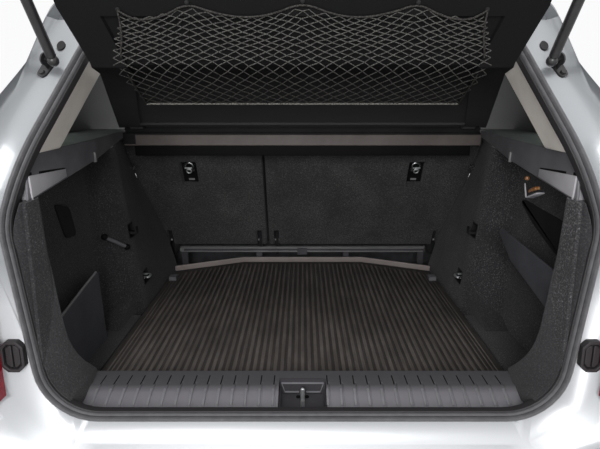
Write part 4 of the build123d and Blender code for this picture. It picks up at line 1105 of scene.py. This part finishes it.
for name, material, home, rows in (
    ("shelf_strip_ridge", shelf_pp, STRIP, (
        ((-0.590, -0.4310, 0.530), (0.590, -0.4232, 0.5725), 0.002, 2),
        ((-0.590, -0.4395, 0.530), (0.590, -0.3900, 0.5395), 0.002, 2))),
    # A matt black sheet under the strip: painted shade in the gap above the seat backs
    ("shelf_strip_shade_valance", deep_pp, STRIP, (
        ((-0.560, -0.4390, 0.4640), (0.560, -0.4330, 0.5040), 0.002, 2),)),
    ("shelf_strip_cap", shelf_pp, STRIP, (
        ((-0.5935, -0.4445, 0.5025), (-0.5530, -0.4340, 0.5400), 0.003, 3),)),
    ("foot_rail_catch", deep_pp, TRIM, (
        ((-0.019, -0.2082, 0.031), (0.017, -0.2030, 0.054), 0.003, 3),
        ((-0.012, -0.2095, 0.030), (0.010, -0.2070, 0.044), 0.003, 3))),
    ("foot_rail_catch_label", rail_pp, TRIM, (
        ((-0.016, -0.2094, 0.0462), (0.013, -0.2076, 0.0545), 0.0008, 2),)),
    ("ledge_clips", rail_pp, TRIM, (
        ((-0.5420, -0.7800, 0.4900), (-0.5345, -0.7720, 0.5160), 0.0015, 2),
        ((0.5345, -0.7800, 0.4900), (0.5420, -0.7720, 0.5160), 0.0015, 2))),
):
    add_blocks(name, rows, material, home)


# The foot rail's two edges, pale as painted highlights, and the round end at its left
RAIL_HIGHLIGHT_EDGES = (((-0.500, -0.2024, 0.0520), (0.500, -0.1990, 0.0575), 0.0012, 2),
              ((-0.497, -0.2024, 0.0385), (0.497, -0.1990, 0.0430), 0.0012, 2))
RAIL_END = Matrix.Translation((-0.498, -0.203, 0.048)) @ Matrix.Rotation(pi / 2, 4, "X")
RAIL_END_FORM = (20, 0.009, 0.008, 0.004)

rail = bmesh.new()
for low, high, rounding, segments in RAIL_HIGHLIGHT_EDGES:
    block(rail, low, high, rounding, segments)
stub(rail, RAIL_END, *RAIL_END_FORM)
add_piece("foot_rail_edges", rail, rail_pp, TRIM)
# A pale cord along the left guard's top edge: a painted highlight
GUARD_HIGHLIGHT_EDGE = ((-0.5575, -1.004, 0.1645), (-0.5575, -0.905, 0.1835), (-0.5575, -0.815, 0.1990))
add_cord("cargo_guard_left_edge", [GUARD_HIGHLIGHT_EDGE], 0.0030, rail_pp, TRIM)


# Fittings on the side pockets' walls

POCKET_WALL = 0.6055
# Columns: piece, side, stand proud, outline in Y and Z
WALL_PANELS = (
    ("pocket_recess_right", 1, 0.0015,
     ((-0.975, 0.275), (-0.982, 0.372), (-0.745, 0.385), (-0.735, 0.372), (-0.815, 0.330))),
    ("pocket_socket_left", -1, 0.004, ((-0.852, 0.306), (-0.880, 0.402), (-0.818, 0.380), (-0.800, 0.300))),
)
PANEL_CORNER = 0.012
STRAP_THICK, STRAP_END = 0.0055, 0.0095
WALL_STRAP = ((-0.5830, -0.6860, 0.2570), (-0.5660, -0.6650, 0.2370), (-0.5420, -0.6330, 0.2080))
LAMP_PLACE = Matrix.Translation((0.536, -0.918, 0.446)) @ Matrix.Rotation(radians(-24), 4, "X")
LAMP_BODY = ((-0.006, -0.018, -0.004), (0.006, 0.018, 0.004), 0.002, 2)
LAMP_BULB = ((0.530, -0.892, 0.468), 0.0055, 12, 8)
LAMP_CUP = (((-0.009, -0.026, -0.016), (0.010, 0.022, -0.012), 0.0015, 2),
            ((-0.011, 0.018, -0.014), (-0.008, 0.022, 0.020), 0.001, 1))

for name, side, proud, outline in WALL_PANELS:
    corners = [(side * (POCKET_WALL - proud), y, z) for y, z in outline]
    add_plate(name, corners, (side * proud * 2, 0, 0), PANEL_CORNER, 4, shelf_pp,
              lambda e, least=proud: abs(e.verts[0].co.x - e.verts[1].co.x) > least)
add_cord("wall_strap_left", [WALL_STRAP], STRAP_THICK, ledge_pp, TRIM)
strap_ends = bmesh.new()
for place in (WALL_STRAP[0], WALL_STRAP[-1]):
    bead(strap_ends, place, STRAP_END, 14, 10)
add_piece("wall_strap_ends", strap_ends, deep_pp, TRIM)
side_lamp = bmesh.new()
block(side_lamp, *LAMP_BODY, LAMP_PLACE)
bead(side_lamp, *LAMP_BULB)
add_piece("side_lamp_amber", side_lamp, amber, TRIM)
add_blocks("side_lamp_cup", LAMP_CUP, facet_pp, TRIM, LAMP_PLACE)


# The seam between the seat backs, a felt lip painted nearly black as shade in the gap, and the felt welts at
# their sides

SEAM = ((-0.1464, 0.012, -0.075), (-0.1371, 0.488, -0.009), 0.002, 2)
WELT = ((-0.001, 0.02, -0.050), (0.0055, 0.478, -0.004), 0.002, 2)
WELT_FOOT, WELT_SPREAD = 0.574, 0.058

add_blocks("seat_seam_lip", (SEAM,), seam_shade_felt, ("seat_right", "trim_carpet"), SEAT_FRAME)
for side, word in SIDES:
    welt = bmesh.new()
    for vert in block(welt, *WELT):
        vert.co.x = side * (vert.co.x + WELT_FOOT + WELT_SPREAD * vert.co.y / SEAT_HEIGHT)
        vert.co = SEAT_FRAME @ vert.co
    face_outwards(welt)
    add_piece("seat_side_welt_" + word, welt, seat_felt, ("seat_" + word, "trim_carpet"))


# The softened copies of the moulded and trimmed nodes

for names, material, *copy in FINISHES:
    if copy:
        for name in names:
            soften(name, material, *copy)


# Floor, backdrop, light and camera

FLOOR_HALF = 6.0
FLOOR_GAP = 0.002
# Columns: lamp, place, target, size, power
LAMPS = (
    ("softbox_above", (0.0, -2.2, 2.8), (0, -0.9, 0.1), 2.4, 18),
    ("softbox_left", (-2.6, -1.6, 1.8), (0, -0.9, 0.2), 1.6, 6),
    ("softbox_right", (2.6, -1.6, 1.8), (0, -0.9, 0.2), 1.6, 6),
    ("softbox_front", (-0.25, -3.0, 1.05), (0, -0.5, 0.2), 1.0, 26),
)


def stage_white(name, seen, lit):
    """Pale matt board that the camera and mirrors see as white, and that still takes the shadow."""
    material = bpy.data.materials.new(name)
    material.use_nodes = True
    tree = material.node_tree
    tree.nodes.clear()
    board = add_node(tree, "BsdfDiffuse", {"Color": linear(lit)})
    glow = add_node(tree, "Emission", {"Color": linear(seen), "Strength": 1.0})
    share = maths(tree, "MULTIPLY", share_seen(tree), 0.6)
    mix = add_node(tree, "MixShader", {0: share, 1: board.outputs[0], 2: glow.outputs[0]})
    tree.links.new(mix.outputs[0], add_node(tree, "OutputMaterial").inputs["Surface"])
    return material


floor_shape = bmesh.new()
bmesh.ops.create_grid(floor_shape, x_segments=1, y_segments=1, size=FLOOR_HALF)
bmesh.ops.translate(floor_shape, vec=(0, 0, cad_bounds[0][2] - FLOOR_GAP), verts=floor_shape.verts)
floor_mesh = bpy.data.meshes.new("studio_floor")
floor_shape.to_mesh(floor_mesh)
floor_shape.free()
floor_mesh.materials.append(stage_white("pale_studio_floor", "#f4f4f4", "#dcdcdc"))
studio_floor = put_object("studio_floor", floor_mesh)

world = bpy.data.worlds.new("studio_world")
bpy.context.scene.world = world
world.use_nodes = True
sky = world.node_tree
sky.nodes.clear()
strength = remap(sky, share_seen(sky), 0.42, 1.0)
light = add_node(sky, "Background", {"Color": linear("#fbfbfc"), "Strength": strength})
sky.links.new(light.outputs[0], add_node(sky, "OutputWorld").inputs["Surface"])

for name, place, target, size, power in LAMPS:
    lamp = bpy.data.lights.new(name, "AREA")
    lamp.shape = "SQUARE"
    lamp.size = size
    lamp.energy = power
    holder = put_object(name, lamp)
    holder.location = place
    holder.rotation_euler = (Vector(target) - Vector(place)).to_track_quat("-Z", "Y").to_euler()

camera_data = bpy.data.cameras.new("photo_camera")
camera_data.sensor_width = 36.0
camera_data.lens = 26.4
camera_data.shift_x = -0.0043
camera_data.clip_start = 0.02
camera = put_object("photo_camera", camera_data)
camera.location = (0.0, -1.920, 0.650)
camera.rotation_euler = (radians(73.96), 0.0, 0.0)
bpy.context.scene.camera = camera
bpy.context.scene.view_settings.view_transform = "Standard"

bpy.context.view_layer.update()
